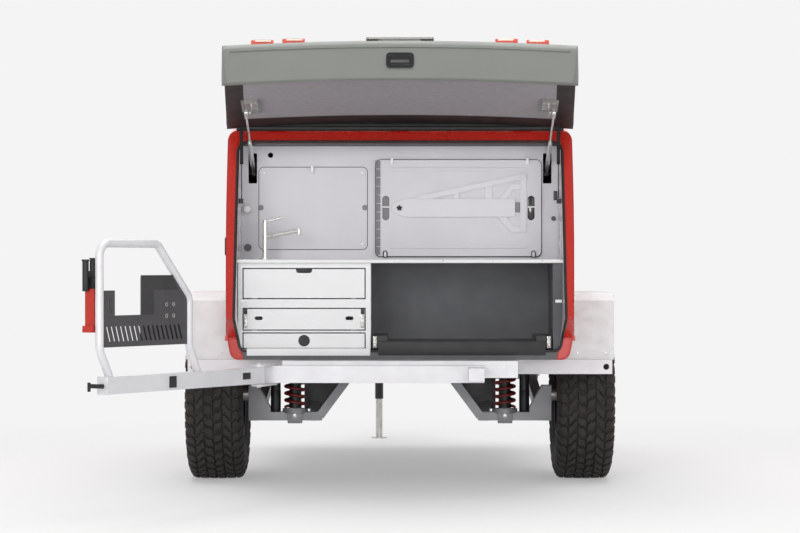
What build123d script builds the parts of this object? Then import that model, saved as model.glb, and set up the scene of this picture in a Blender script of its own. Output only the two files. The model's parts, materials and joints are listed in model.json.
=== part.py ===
from build123d import *
from math import asin, cos, degrees, radians, sin, sqrt, tan
import os

# Drawing frame, in millimetres: X to the right seen from the rear, Y forward of the rear sill, Z above the
# ground. The finished pieces are moved so that the coupler's ball centre is the origin.

# Coupler and parking height
COUPLER_Y = 4300.0
COUPLER_H = 550.0

# Cabin shell
BODY_HALF = 788.0
WALL = 54.0
FLOOR_H = 609.0
FLOOR_T = 42.0
TUCK_H = 834.0
TUCK_R = 900.0
SILL_CORNER_R = 40.0
ROOF_REAR_H = 1602.0
ROOF_SLOPE = 14.0
ROOF_R = 6000.0
ROOF_FLAT = 200.0
NOSE_R = 1400.0
NOSE_TURN = 62.0
NOSE_CORNER_R = 180.0
ROOF_EDGE_R = 45.0
TAIL_TAPER_Y = 150.0
TAIL_TAPER_R = 2600.0

# Side doors with windows
DOOR_REAR_Y = 1700.0
DOOR_LENGTH = 700.0
DOOR_LOW_H = 760.0
DOOR_HIGH_H = 1500.0
DOOR_CORNER_R = 90.0
DOOR_GAP = 8.0
DOOR_HINGE_PROUD = 8.0
WINDOW_W = 430.0
WINDOW_HIGH = 300.0
WINDOW_H = 1290.0
WINDOW_R = 60.0
GLASS_T = 6.0

# Rear hatch: a hinge line on the roof, a chord down to the crease, and a chin below it
HINGE_Y = 212.0
HINGE_H = 1664.0
HATCH_CHORD = 987.0
HATCH_CLOSED_ANGLE = 248.0
HATCH_OPENING = 84.5
HATCH_HALF_TOP = 795.0
HATCH_HALF_CREASE = 750.0
HATCH_BULGE = 70.0
HATCH_TOP_N = 38.0
HATCH_SKIN = 26.0
HATCH_CROWN_R = 12200.0
CHIN_DEPTH = 168.0
CREASE_N = 15.0
CHIN_REACH = 28.0
CREASE_R = 36.0
LINER_T = 14.0
RIM_GAP = 15.0

# Galley
BULKHEAD_Y = 400.0
BULKHEAD_T = 20.0
COUNTER_H = 1045.0
COUNTER_T = 17.0
COUNTER_REAR_Y = 20.0
FACE_Y = 45.0
CABINET_LEFT = -731.0
CABINET_RIGHT = -132.0
FRONT_LEFT = -706.0
FRONT_RIGHT = -160.0
FRONT_T = 18.0
SLIDE_GAP = 5.0
SEAT_GAP = 0.3
DRAWER_WALL = 12.0
DRAWER_BACK_Y = 380.0
BAY_RIGHT = 690.0
BAY_LINING_T = 12.0
TRAY_LOW_H = 660.0
TRAY_HIGH = 34.0
TRAY_T = 6.0
TRAY_REAR_Y = 30.0
STRUT_X = 685.0
SLOT_W = 40.0

# Chassis
RAIL_X = 500.0
RAIL_W = 51.0
RAIL_HIGH = 76.0
RAIL_FRONT_Y = 3000.0
BUMPER_REAR_Y = -160.0
BUMPER_T = 50.0
BUMPER_LEFT = -606.0
BUMPER_RIGHT = 373.0
BUMPER_LOW_H = 513.0
TONGUE_REAR_Y = 2300.0
TONGUE_W = 76.0
BRACE_W = 50.0
JACK_X = -125.0
JACK_Y = 3860.0
JACK_FOOT = 93.0
OUTRIGGER_OUT = 990.0
OUTRIGGER_HIGH = 67.0
OUTRIGGER_W = 50.0

# Wheels and suspension
AXLE_Y = 960.0
TYRE_R = 407.5
TYRE_W = 275.0
RIM_R = 216.0
WHEEL_X = 882.0
STUB_R = 32.0
STUB_GAP = 0.5
ARCH_R = 470.0
ARCH_SKIN = 5.5
PIVOT_AHEAD = 550.0
PIVOT_H = 490.0
SPRING_X = 510.0
SPRING_COIL_R = 48.0
SPRING_WIRE_R = 7.0
SPRING_TURNS = 5
SHOCK_X = 605.0
FENDER_OUT = 1000.0
FENDER_TOP_H = 908.0
FENDER_REAR_Y = AXLE_Y - 510.0
FENDER_FRONT_Y = AXLE_Y + 510.0
FENDER_LOW_H = 595.0
FENDER_T = 5.0

# Swing arm, drawn closed: u runs along the arm from its hinge, w points away from the trailer
ARM_HINGE_X = -620.0
ARM_HINGE_Y = -260.0
ARM_OPENING = 120.0
ARM_LENGTH = 1140.0
ARM_T = 50.0
ARM_LOW_H = 516.0
ARM_HIGH = 70.0
ARM_PIN_R = 10.0
ARM_KNUCKLE_R = 27.0
HOOP_R = 17.0
HOOP_BEND_R = 55.0
PLATE_T = 5.0
PLATE_FOLD = 62.0
PLATE_SLOTS = 17

APEX_Y = ROOF_R * sin(radians(ROOF_SLOPE))
APEX_H = ROOF_REAR_H + ROOF_R * (1 - cos(radians(ROOF_SLOPE)))
INNER_HALF = BODY_HALF - WALL
DECK_H = FLOOR_H + FLOOR_T
FULL_H = 2400.0
NODES = {}


def node(name, *shapes):
    """Keeps every solid of the shapes under one node's name."""
    NODES[name] = [solid for shape in shapes for solid in shape.solids()]


def block(xs, ys, hs):
    """A box from its limits across, along and above the ground."""
    sizes = [pair[1] - pair[0] for pair in (xs, ys, hs)]
    centre = [(pair[0] + pair[1]) / 2 for pair in (xs, ys, hs)]
    return Pos(*centre) * Box(*sizes)


def across(face, x0, x1):
    """A face of (Y, Z) points carried from one X to another."""
    return extrude(Plane.YZ.offset(x0) * face, x1 - x0, dir=(1, 0, 0))


def along(face, y0, y1):
    """A face of (X, Z) points carried from one Y to another."""
    return extrude(Plane.XZ.offset(-y0) * face, y1 - y0, dir=(0, 1, 0))


def upward(face, h0, h1):
    """A face of (X, Y) points carried from one height to another."""
    return extrude(Plane.XY.offset(h0) * face, h1 - h0, dir=(0, 0, 1))


def polygon(*points):
    return make_face(Polyline(*points, close=True))


def rounded(width, height, radius, x=0.0, y=0.0):
    return Pos(x, y) * RectangleRounded(width, height, radius)


def rod(start, end, radius):
    """A round bar between two points."""
    line = Vector(*end) - Vector(*start)
    ends = (Align.CENTER, Align.CENTER, Align.MIN)
    return Plane(origin=start, z_dir=line) * Cylinder(radius, line.length, align=ends)


def beam(start, end, wide, deep):
    """A box section between two points, its width kept level."""
    line = Vector(*end) - Vector(*start)
    level = Vector(0, 0, 1).cross(line)
    ends = (Align.CENTER, Align.CENTER, Align.MIN)
    return Plane(origin=start, x_dir=level, z_dir=line) * Box(wide, deep, line.length, align=ends)


def mirrored(shape):
    return mirror(shape, about=Plane.YZ)


def closed_point(s, n):
    """(Y, Z) of a point of the closed hatch: s along its chord from the hinge, n outward from it."""
    turn = radians(HATCH_CLOSED_ANGLE)
    return (HINGE_Y + s * cos(turn) + n * sin(turn), HINGE_H + s * sin(turn) - n * cos(turn))


def roof_arc(y0, y1, inset):
    """The long roof arc between two Y places, with its middle point."""
    radius = ROOF_R - inset
    places = (y0, (y0 + y1) / 2, y1)
    return [(y, APEX_H - ROOF_R + sqrt(radius**2 - (APEX_Y - y) ** 2)) for y in places]


def shell_front(inset, floor):
    """Points of the flat crown and the nose, down to a floor height."""
    radius = NOSE_R - inset
    centre_y, centre_h = APEX_Y + ROOF_FLAT, APEX_H - NOSE_R
    turns = [radians(share * NOSE_TURN) for share in (0, 0.5, 1)]
    arc = [(centre_y + radius * sin(turn), centre_h + radius * cos(turn)) for turn in turns]
    toe = (arc[2][0] + (arc[2][1] - floor) / tan(radians(NOSE_TURN)), floor)
    return arc, toe


def side_outline(rear, inset, floor):
    """The cabin's side outline: rear points from the floor up, roof, nose and floor."""
    roof = roof_arc(rear[-1][0], APEX_Y, inset)
    arc, toe = shell_front(inset, floor)
    lines = [Line(a, b) for a, b in zip(rear[:-1], rear[1:-1] + [roof[0]])]
    lines += [ThreePointArc(*roof), Line(roof[2], arc[0]), ThreePointArc(*arc)]
    lines += [Line(arc[2], toe), Line(toe, rear[0])]
    face = Face(Wire(lines))
    corner = face.vertices().sort_by(Axis.X)[-1]
    return fillet(corner, max(NOSE_CORNER_R - inset, 1))


def cross_section(inset, low):
    """Half-round shouldered section: upright walls that tuck in towards the floor."""
    half = BODY_HALF - inset
    radius = TUCK_R - inset
    centre = half - radius
    foot = centre + sqrt(radius**2 - (TUCK_H - low) ** 2)
    middle_h = (TUCK_H + low) / 2
    middle = centre + sqrt(radius**2 - (TUCK_H - middle_h) ** 2)
    edges = [Line((-foot, low), (foot, low)), ThreePointArc((foot, low), (middle, middle_h), (half, TUCK_H))]
    edges += [Line((half, TUCK_H), (half, FULL_H)), Line((half, FULL_H), (-half, FULL_H))]
    edges += [Line((-half, FULL_H), (-half, TUCK_H))]
    edges += [ThreePointArc((-half, TUCK_H), (-middle, middle_h), (-foot, low))]
    return Face(Wire(edges))


# Rear rim of the cabin, parallel to the closed hatch and its chin
CHIN_SLOPE = CHIN_REACH / (CHIN_DEPTH + CREASE_N)
rim_corner_s = HATCH_CHORD - HATCH_SKIN - 2 * RIM_GAP
sill_y, sill_h = closed_point(rim_corner_s + CHIN_SLOPE * CHIN_DEPTH, -RIM_GAP - CHIN_DEPTH)
rim_corner = closed_point(rim_corner_s, -RIM_GAP)
rim_top = closed_point(0, -RIM_GAP)
rear_points = [(sill_y, FLOOR_H), (sill_y, sill_h), rim_corner, rim_top]
NOSE_Y = shell_front(0, FLOOR_H)[1][0]


def cabin_outer():
    """The cabin as one solid: side outline, tucked section, rounded roof edges and tapered tail."""
    solid = across(side_outline(rear_points, 0, FLOOR_H), -BODY_HALF, BODY_HALF)
    roof_edges = [
        edge
        for edge in solid.edges()
        if abs(abs(edge.center().X) - BODY_HALF) < 0.1
        and edge.center().Z > FLOOR_H + NOSE_CORNER_R
        and edge.center().Y > HINGE_Y
    ]
    solid = fillet(roof_edges, ROOF_EDGE_R)
    section = cross_section(0, FLOOR_H)
    section = fillet(section.vertices().group_by(Axis.Y)[0], SILL_CORNER_R)
    solid = solid & along(section, rim_corner[0] - 100, NOSE_Y + 100)
    tail_y = rim_corner[0] - 50
    inward = TAIL_TAPER_R - sqrt(TAIL_TAPER_R**2 - (TAIL_TAPER_Y - tail_y) ** 2)
    middle_y = (TAIL_TAPER_Y + tail_y) / 2
    middle_in = TAIL_TAPER_R - sqrt(TAIL_TAPER_R**2 - (TAIL_TAPER_Y - middle_y) ** 2)
    half = BODY_HALF
    plan = [
        Line((-half, NOSE_Y + 50), (half, NOSE_Y + 50)),
        Line((half, NOSE_Y + 50), (half, TAIL_TAPER_Y)),
        ThreePointArc((half, TAIL_TAPER_Y), (half - middle_in, middle_y), (half - inward, tail_y)),
        Line((half - inward, tail_y), (inward - half, tail_y)),
        ThreePointArc((inward - half, tail_y), (middle_in - half, middle_y), (-half, TAIL_TAPER_Y)),
        Line((-half, TAIL_TAPER_Y), (-half, NOSE_Y + 50)),
    ]
    return solid & upward(Face(Wire(plan)), FLOOR_H - 50, FULL_H)


# Cabin shell, split where its panels meet
outer = cabin_outer()
inner_tube = along(cross_section(WALL, FLOOR_H), rim_corner[0] - 200, NOSE_Y + 200)
inner_rear = [(rim_corner[0] - 200, DECK_H), (rim_corner[0] - 200, 0)]
inner_profile = across(side_outline(inner_rear, WALL, DECK_H), -BODY_HALF, BODY_HALF)
walls = outer - inner_tube
middle = (outer & inner_tube) - inner_profile
cavity = inner_tube & inner_profile
roof_shell = middle & block((-BODY_HALF, BODY_HALF), (rim_corner[0] - 50, NOSE_Y + 50), (DECK_H, FULL_H))
floor_deck = middle - roof_shell

# Side walls with door openings and wheel arch recesses, and the doors
DOOR_MID_Y = DOOR_REAR_Y + DOOR_LENGTH / 2
DOOR_MID_H = (DOOR_LOW_H + DOOR_HIGH_H) / 2
DOOR_FRONT_Y = DOOR_REAR_Y + DOOR_LENGTH
DOOR_HIGH = DOOR_HIGH_H - DOOR_LOW_H
PAST_WALL = BODY_HALF + 50


def door_hinge(height):
    """One hinge: the door's knuckle and strap, and the wall's two knuckles with theirs."""
    axis_x, radius, half, strap = BODY_HALF + DOOR_HINGE_PROUD, 7.0, 30.0, 50.0
    strap_x = (BODY_HALF, axis_x - 3)
    on_door = rod((axis_x, DOOR_FRONT_Y, height - half), (axis_x, DOOR_FRONT_Y, height + half), radius)
    on_door += block(strap_x, (DOOR_FRONT_Y - strap, DOOR_FRONT_Y), (height - half, height + half))
    on_wall = []
    for sign in (-1, 1):
        ends = sorted((height + sign * (half + SEAT_GAP), height + sign * (half + 25)))
        knuckle = rod((axis_x, DOOR_FRONT_Y, ends[0]), (axis_x, DOOR_FRONT_Y, ends[1]), radius)
        on_wall.append(knuckle + block(strap_x, (DOOR_FRONT_Y, DOOR_FRONT_Y + strap), ends))
    return on_door, on_wall


def door_outline(gap):
    size = (DOOR_LENGTH - 2 * gap, DOOR_HIGH - 2 * gap, DOOR_CORNER_R - gap)
    return across(rounded(*size, DOOR_MID_Y, DOOR_MID_H), 0, PAST_WALL)


window_face = rounded(WINDOW_W, WINDOW_HIGH, WINDOW_R, DOOR_MID_Y, WINDOW_H)
arch = rod((INNER_HALF + ARCH_SKIN, AXLE_Y, TYRE_R), (PAST_WALL, AXLE_Y, TYRE_R), ARCH_R)
hinges = [door_hinge(height) for height in (DOOR_LOW_H + 150, DOOR_HIGH_H - 110)]
handle_y = (DOOR_REAR_Y + 40, DOOR_REAR_Y + 120)
door_handle = block((BODY_HALF, BODY_HALF + 14), handle_y, (DOOR_MID_H - 70, DOOR_MID_H - 30))
glass_x = BODY_HALF - WALL / 2
glass = across(window_face, glass_x - GLASS_T / 2, glass_x + GLASS_T / 2)
wall_left, wall_right = walls.solids().sort_by(Axis.X)
for side, wall, placed in (("right", wall_right, lambda shape: shape), ("left", wall_left, mirrored)):
    panel = wall - placed(door_outline(0)) - placed(arch)
    door = (wall & placed(door_outline(DOOR_GAP))) - placed(across(window_face, 0, PAST_WALL))
    for on_door, on_wall in hinges:
        door += placed(on_door)
        for piece in on_wall:
            panel += placed(piece)
    node(f"side_{side}", panel)
    node(f"door_{side}", door + placed(door_handle))
    node(f"door_window_{side}", placed(glass))
node("roof_shell", roof_shell)
node("floor_deck", floor_deck)

# Roof vent, side marker lamps and the grab handle
VENT_HALF = 200.0
VENT_Y = APEX_Y + ROOF_FLAT / 2
VENT_HIGH = 65.0
vent = Pos(0, VENT_Y, APEX_H) * Box(2 * VENT_HALF, 2 * VENT_HALF, 2 * VENT_HIGH)
vent = fillet(vent.edges().filter_by(Axis.Z), 40)
vent = fillet(vent.faces().sort_by(Axis.Z)[-1].edges(), 20)
node("roof_vent", vent - outer)
LAMP_Y = 330.0
LAMP_H = 700.0
lamp = Pos(BODY_HALF, LAMP_Y, LAMP_H) * Box(40, 70, 26)
lamp = fillet(lamp.edges().filter_by(Axis.X), 10) - outer
node("side_lamps", lamp, mirrored(lamp))
GRAB_Y = 420.0
GRAB_H = (1088.0, 1158.0)
GRAB_OUT = 20.0
grab_x = -BODY_HALF - GRAB_OUT
grab = rod((grab_x, GRAB_Y, GRAB_H[0]), (grab_x, GRAB_Y, GRAB_H[1]), 9)
for end_h in GRAB_H:
    grab += rod((grab_x, GRAB_Y, end_h), (-BODY_HALF, GRAB_Y, end_h), 9)
    grab += Pos(grab_x, GRAB_Y, end_h) * Sphere(9)
node("grab_handle", grab)

# Chassis
RAIL_LOW_H = FLOOR_H - RAIL_HIGH
RAIL_IN = RAIL_X - RAIL_W / 2
RAIL_OUT = RAIL_X + RAIL_W / 2
RAIL_REAR_Y = BUMPER_REAR_Y + BUMPER_T
rail_h = (RAIL_LOW_H, FLOOR_H)
rail = block((RAIL_IN, RAIL_OUT), (RAIL_REAR_Y, RAIL_FRONT_Y), rail_h)
node("frame_rails", rail, mirrored(rail))
cross_places = (RAIL_REAR_Y, 300.0, 900.0, TONGUE_REAR_Y - RAIL_W)
crossmembers = [block((-RAIL_IN, RAIL_IN), (y, y + RAIL_W), rail_h) for y in cross_places]
front_cross = block((TONGUE_W / 2, RAIL_IN), (RAIL_FRONT_Y - RAIL_W, RAIL_FRONT_Y), rail_h)
node("frame_crossmembers", *crossmembers, front_cross, mirrored(front_cross))
COUPLER_REAR_Y = COUPLER_Y - 100
tongue = block((-TONGUE_W / 2, TONGUE_W / 2), (TONGUE_REAR_Y, COUPLER_REAR_Y), rail_h)
node("tongue_tube", tongue)
BRACE_END_Y = 3650.0
brace_h = FLOOR_H - RAIL_HIGH / 2
brace = beam((RAIL_X, RAIL_FRONT_Y, brace_h), (TONGUE_W / 2, BRACE_END_Y, brace_h), BRACE_W, RAIL_HIGH)
brace = brace - tongue - rail - front_cross
node("tongue_braces", brace, mirrored(brace))

# Coupler, its socket opening downward at the origin
SOCKET_R = 25.5
SOCKET_DEEP = 42.0
COUPLER_HALF = 46.0
COUPLER_HIGH = 86.0
coupler_y = (COUPLER_REAR_Y, COUPLER_Y + COUPLER_HALF)
coupler = block((-COUPLER_HALF, COUPLER_HALF), coupler_y, (COUPLER_H, COUPLER_H + COUPLER_HIGH))
coupler = fillet(coupler.faces().sort_by(Axis.Y)[-1].edges().filter_by(Axis.Z), 30)
coupler = fillet(coupler.faces().sort_by(Axis.Z)[-1].edges(), 12)
coupler -= rod((0, COUPLER_Y, COUPLER_H - 1), (0, COUPLER_Y, COUPLER_H + SOCKET_DEEP), SOCKET_R)
coupler_top = COUPLER_H + COUPLER_HIGH
coupler += block((-14, 14), (COUPLER_REAR_Y + 10, COUPLER_Y), (coupler_top, coupler_top + 14))
node("coupler", coupler)

# Tongue jack, parked on its foot plate
JACK_SLEEVE_R = 25.0
JACK_LEG_R = 20.0
JACK_SLEEVE_LOW = 330.0
JACK_TOP = 800.0
FOOT_T = 8.0
jack = rod((JACK_X, JACK_Y, JACK_SLEEVE_LOW), (JACK_X, JACK_Y, JACK_TOP), JACK_SLEEVE_R)
jack += block((JACK_X, -TONGUE_W / 2), (JACK_Y - 30, JACK_Y + 30), (RAIL_LOW_H + 10, FLOOR_H - 10))
jack += rod((JACK_X, JACK_Y, JACK_TOP), (JACK_X, JACK_Y, JACK_TOP + 25), 14)
crank_h = JACK_TOP + 15
jack += rod((JACK_X, JACK_Y, crank_h), (JACK_X - 150, JACK_Y, crank_h), 7)
jack += rod((JACK_X - 150, JACK_Y, crank_h - 7), (JACK_X - 150, JACK_Y, crank_h + 90), 10)
node("tongue_jack", jack)
leg = rod((JACK_X, JACK_Y, FOOT_T), (JACK_X, JACK_Y, JACK_SLEEVE_LOW), JACK_LEG_R)
leg += rod((JACK_X, JACK_Y, 0), (JACK_X, JACK_Y, FOOT_T), JACK_FOOT / 2)
node("jack_leg", leg)

# Bumper beam with the swing arm's hinge ears and pin, and the latch receiver
EAR_T = 10.0
bumper_y = (BUMPER_REAR_Y, RAIL_REAR_Y)
bumper_h = (BUMPER_LOW_H, BUMPER_LOW_H + RAIL_HIGH)
bumper = block((BUMPER_LEFT, BUMPER_RIGHT), bumper_y, bumper_h)
EAR_R = 32.0
ear_face = polygon(
    (BUMPER_LEFT, RAIL_REAR_Y),
    (BUMPER_LEFT + 60, RAIL_REAR_Y),
    (ARM_HINGE_X + EAR_R, ARM_HINGE_Y),
    (ARM_HINGE_X - EAR_R, ARM_HINGE_Y),
)
ear_face += Pos(ARM_HINGE_X, ARM_HINGE_Y) * Circle(EAR_R)
ear_lows = (bumper_h[0] - EAR_T, bumper_h[1])
for low in ear_lows:
    bumper += upward(ear_face, low, low + EAR_T)
pin_ends = (ear_lows[0] - 6, ear_lows[1] + EAR_T + 6)
bumper += rod((ARM_HINGE_X, ARM_HINGE_Y, pin_ends[0]), (ARM_HINGE_X, ARM_HINGE_Y, pin_ends[1]), ARM_PIN_R)
RECEIVER_GAP = 8.0
receiver_y = (ARM_HINGE_Y + ARM_T / 2 + RECEIVER_GAP, BUMPER_REAR_Y)
bumper += block((BUMPER_RIGHT - 70, BUMPER_RIGHT), receiver_y, (bumper_h[0] + 8, bumper_h[1] - 8))
node("bumper_beam", bumper)

# Outriggers and fenders
OUTRIGGER_HOLE_R = 14.0
outriggers = []
for middle_y in (FENDER_REAR_Y + 3, FENDER_FRONT_Y - 3):
    beam_y = (middle_y - OUTRIGGER_W / 2, middle_y + OUTRIGGER_W / 2)
    piece = block((RAIL_OUT, OUTRIGGER_OUT), beam_y, (FENDER_LOW_H - OUTRIGGER_HIGH, FENDER_LOW_H))
    hole_x, hole_h = OUTRIGGER_OUT - 28, FENDER_LOW_H - OUTRIGGER_HIGH / 2
    piece -= rod((hole_x, beam_y[0] - 1, hole_h), (hole_x, beam_y[1] + 1, hole_h), OUTRIGGER_HOLE_R)
    outriggers += [piece, mirrored(piece)]
node("outrigger_beams", *outriggers)
FENDER_BEVEL = 38.0
FENDER_SLOPE = 130.0
FENDER_LIP = 32.0


def fender_face(inset):
    """The fender's side outline, open at the bottom, set in from the sheet's outer side."""
    top, rear, front = FENDER_TOP_H - inset, FENDER_REAR_Y + inset, FENDER_FRONT_Y - inset
    trim = inset * tan(radians(22.5))
    low = FENDER_LOW_H - (1 if inset else 0)
    return polygon(
        (rear, low),
        (rear, FENDER_TOP_H - FENDER_BEVEL - trim),
        (FENDER_REAR_Y + FENDER_BEVEL + trim, top),
        (FENDER_FRONT_Y - FENDER_SLOPE - trim, top),
        (front, FENDER_TOP_H - FENDER_SLOPE - trim),
        (front, low),
    )


fender = across(fender_face(0) - fender_face(FENDER_T), BODY_HALF - 26, FENDER_OUT)
fender += across(fender_face(0) - fender_face(FENDER_LIP), FENDER_OUT - FENDER_T, FENDER_OUT)
fender = fender - outer
node("fenders", fender, mirrored(fender))

# Trailing arm suspension
PIVOT_Y = AXLE_Y + PIVOT_AHEAD
CRADLE_H = 302.0
CRADLE_HIGH = 41.0
CRADLE_IN = 390.0
UPRIGHT_X = (690.0, 735.0)
cradle_top = CRADLE_H + CRADLE_HIGH / 2
SEAT_T = 16.0
# Members of one arm: start and end points, width and depth
arm_members = (
    ((450, PIVOT_Y, PIVOT_H), (CRADLE_IN + 20, AXLE_Y, CRADLE_H), 50, 50),
    ((655, PIVOT_Y, PIVOT_H), (UPRIGHT_X[0], AXLE_Y, CRADLE_H + 10), 50, 50),
    ((CRADLE_IN - 10, AXLE_Y, CRADLE_H), (UPRIGHT_X[1], AXLE_Y, CRADLE_H), 70, CRADLE_HIGH),
    ((CRADLE_IN, AXLE_Y, CRADLE_H), (265, AXLE_Y, 470), 70, CRADLE_HIGH),
)
trailing = rod((420, PIVOT_Y, PIVOT_H), (700, PIVOT_Y, PIVOT_H), 32)
trailing += block((RAIL_X - 20, RAIL_X + 20), (PIVOT_Y - 35, PIVOT_Y + 35), (PIVOT_H, RAIL_LOW_H))
for start, end, wide, deep in arm_members:
    trailing += beam(start, end, wide, deep)
trailing += block(UPRIGHT_X, (AXLE_Y - 45, AXLE_Y + 45), (CRADLE_H - CRADLE_HIGH / 2, TYRE_R + 45))
trailing += rod((SPRING_X, AXLE_Y, cradle_top - 5), (SPRING_X, AXLE_Y, cradle_top + SEAT_T), 62)
node("trailing_arms", trailing, mirrored(trailing))
stub = rod((UPRIGHT_X[1], AXLE_Y, TYRE_R), (WHEEL_X + 60, AXLE_Y, TYRE_R), STUB_R)
node("stub_axles", stub, mirrored(stub))
spring_low = cradle_top + SEAT_T
SEAT_TOP_T = 12.0
spring_high = RAIL_LOW_H - SEAT_TOP_T
coil_path = Helix(
    pitch=(spring_high - spring_low - 2 * SPRING_WIRE_R) / SPRING_TURNS,
    height=spring_high - spring_low - 2 * SPRING_WIRE_R,
    radius=SPRING_COIL_R,
)
wire_start = Plane(origin=coil_path @ 0, z_dir=coil_path % 0)
coil = sweep(wire_start * Circle(SPRING_WIRE_R), path=coil_path)
spring = Pos(SPRING_X, AXLE_Y, spring_low + SPRING_WIRE_R) * coil
node("coil_springs", spring, mirrored(spring))
SHOCK_R = 24.0
SHOCK_ROD_R = 11.0
SHOCK_BODY = 140.0
SHOCK_TOP = 562.0
seat = rod((SPRING_X, AXLE_Y, spring_high), (SPRING_X, AXLE_Y, RAIL_LOW_H), 58)
ear = block((RAIL_OUT, SHOCK_X + 28), (AXLE_Y - 28, AXLE_Y + 28), (SHOCK_TOP, SHOCK_TOP + 34))
node("suspension_seats", seat, mirrored(seat), ear, mirrored(ear))
shock_step = SHOCK_TOP - SHOCK_BODY
shock = rod((SHOCK_X, AXLE_Y, cradle_top), (SHOCK_X, AXLE_Y, shock_step), SHOCK_ROD_R)
shock += rod((SHOCK_X, AXLE_Y, shock_step), (SHOCK_X, AXLE_Y, SHOCK_TOP), SHOCK_R)
node("shock_absorbers", shock, mirrored(shock))

# Wheels: tyre and rim turned about the axle line
RIM_HALF = 112.0
RIM_LIP = 6.0
RIM_T = 12.0
RIM_WINDOWS = 8
HUB_R = 72.0
HUB_IN = 30.0
HUB_OUT = 8.0
WINDOW_HOLE_R = 36.0
DISC_X = (58.0, 78.0)
half_w = TYRE_W / 2
tread_half = half_w - 32
shoulder = (half_w - 4, TYRE_R - 36)
side_mid = (half_w, (TYRE_R + RIM_R) / 2)
tyre_edges = [
    Line((-tread_half, TYRE_R), (tread_half, TYRE_R)),
    ThreePointArc((tread_half, TYRE_R), (half_w - 11, TYRE_R - 12), shoulder),
    ThreePointArc(shoulder, side_mid, (RIM_HALF, RIM_R)),
    Line((RIM_HALF, RIM_R), (-RIM_HALF, RIM_R)),
    ThreePointArc((-RIM_HALF, RIM_R), (-side_mid[0], side_mid[1]), (-shoulder[0], shoulder[1])),
    ThreePointArc((-shoulder[0], shoulder[1]), (11 - half_w, TYRE_R - 12), (-tread_half, TYRE_R)),
]
wheel_place = Pos(WHEEL_X, AXLE_Y, TYRE_R)
tyre = wheel_place * revolve(Plane.XZ * Face(Wire(tyre_edges)), Axis.X)
node("tyre_right", tyre)
node("tyre_left", mirrored(tyre))
lip = RIM_HALF + RIM_LIP
bore_r = STUB_R + STUB_GAP
barrel_r = RIM_R - RIM_T
# Rings of the rim: inner and outer place across, inner and outer radius
rim_rings = (
    (-lip, lip, barrel_r, RIM_R),
    (DISC_X[0], DISC_X[1], bore_r, barrel_r + 1),
    (DISC_X[0] - HUB_IN, DISC_X[1] + HUB_OUT, bore_r, HUB_R),
)
rim_faces = [polygon((x0, r0), (x1, r0), (x1, r1), (x0, r1)) for x0, x1, r0, r1 in rim_rings]
rim = revolve(Plane.XZ * (rim_faces[0] + rim_faces[1] + rim_faces[2]), Axis.X)
for place in PolarLocations((HUB_R + barrel_r) / 2, RIM_WINDOWS):
    rim -= extrude(Plane.YZ * place * Circle(WINDOW_HOLE_R), lip)
rim = wheel_place * rim
node("rim_right", rim)
node("rim_left", mirrored(rim))

# Rear hatch, shown open: s runs along its chord from the hinge, n outward from the chord
OPEN_TURN = radians(HATCH_CLOSED_ANGLE - HATCH_OPENING)
ALONG_S = Vector(0, cos(OPEN_TURN), sin(OPEN_TURN))
ALONG_N = Vector(0, sin(OPEN_TURN), -cos(OPEN_TURN))
HATCH_ORIGIN = (0, HINGE_Y, HINGE_H)
hatch_side = Plane(origin=HATCH_ORIGIN, x_dir=ALONG_S, z_dir=(-1, 0, 0))
hatch_plan = Plane(origin=HATCH_ORIGIN, x_dir=ALONG_S, z_dir=ALONG_N)
CROWN_RISE = BODY_HALF**2 / (2 * HATCH_CROWN_R)
CHIN_CORNER_R = 45.0
MARGIN_W = 84.0
HINGE_STRIP = 125.0
FRONT_STRIP = 11.0
MARGIN_N = -7.0
SHELL_LOW_N = -2.0


def open_point(s, n, x=0.0):
    """A point of the open hatch in the drawing frame."""
    point = Vector(*HATCH_ORIGIN) + ALONG_S * s + ALONG_N * n
    return (x, point.Y, point.Z)


def crowned(face):
    """A section of the hatch swept across it on the crown's large radius."""
    lifted = hatch_side * Pos(0, CROWN_RISE) * face
    axis = Axis(open_point(0, -HATCH_CROWN_R), ALONG_S)
    sweep_angle = 2 * degrees(asin((HATCH_HALF_TOP + 20) / HATCH_CROWN_R))
    return revolve(lifted.rotate(axis, -sweep_angle / 2), axis, sweep_angle)


def hatch_trim(inset, s0, s1, corner_r):
    """The hatch's tapered plan between two places along its chord, set in from its sides."""
    taper = (HATCH_HALF_TOP - HATCH_HALF_CREASE) / HATCH_CHORD
    near, far = (HATCH_HALF_TOP - inset - taper * s for s in (s0, s1))
    face = polygon((s0, -near), (s1, -far), (s1, far), (s0, near))
    if corner_r:
        face = fillet(face.vertices().group_by(Axis.X)[-1], corner_r)
    return extrude(hatch_plan * face, 2 * CHIN_DEPTH, both=True)


def hatch_box(ss, xs, ns):
    """A box on the open hatch from its limits along, across and out from it."""
    sizes = [pair[1] - pair[0] for pair in (ss, xs, ns)]
    centre = [(pair[0] + pair[1]) / 2 for pair in (ss, xs, ns)]
    return hatch_plan * Pos(*centre) * Box(*sizes)


def outer_n(s, x):
    """Height of the hatch's outer panel above its chord."""
    share = s / HATCH_CHORD
    chord_n = HATCH_TOP_N * (1 - share) + CREASE_N * share
    crown_n = CROWN_RISE - x**2 / (2 * HATCH_CROWN_R)
    return chord_n + 4 * HATCH_BULGE * share * (1 - share) + crown_n


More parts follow.
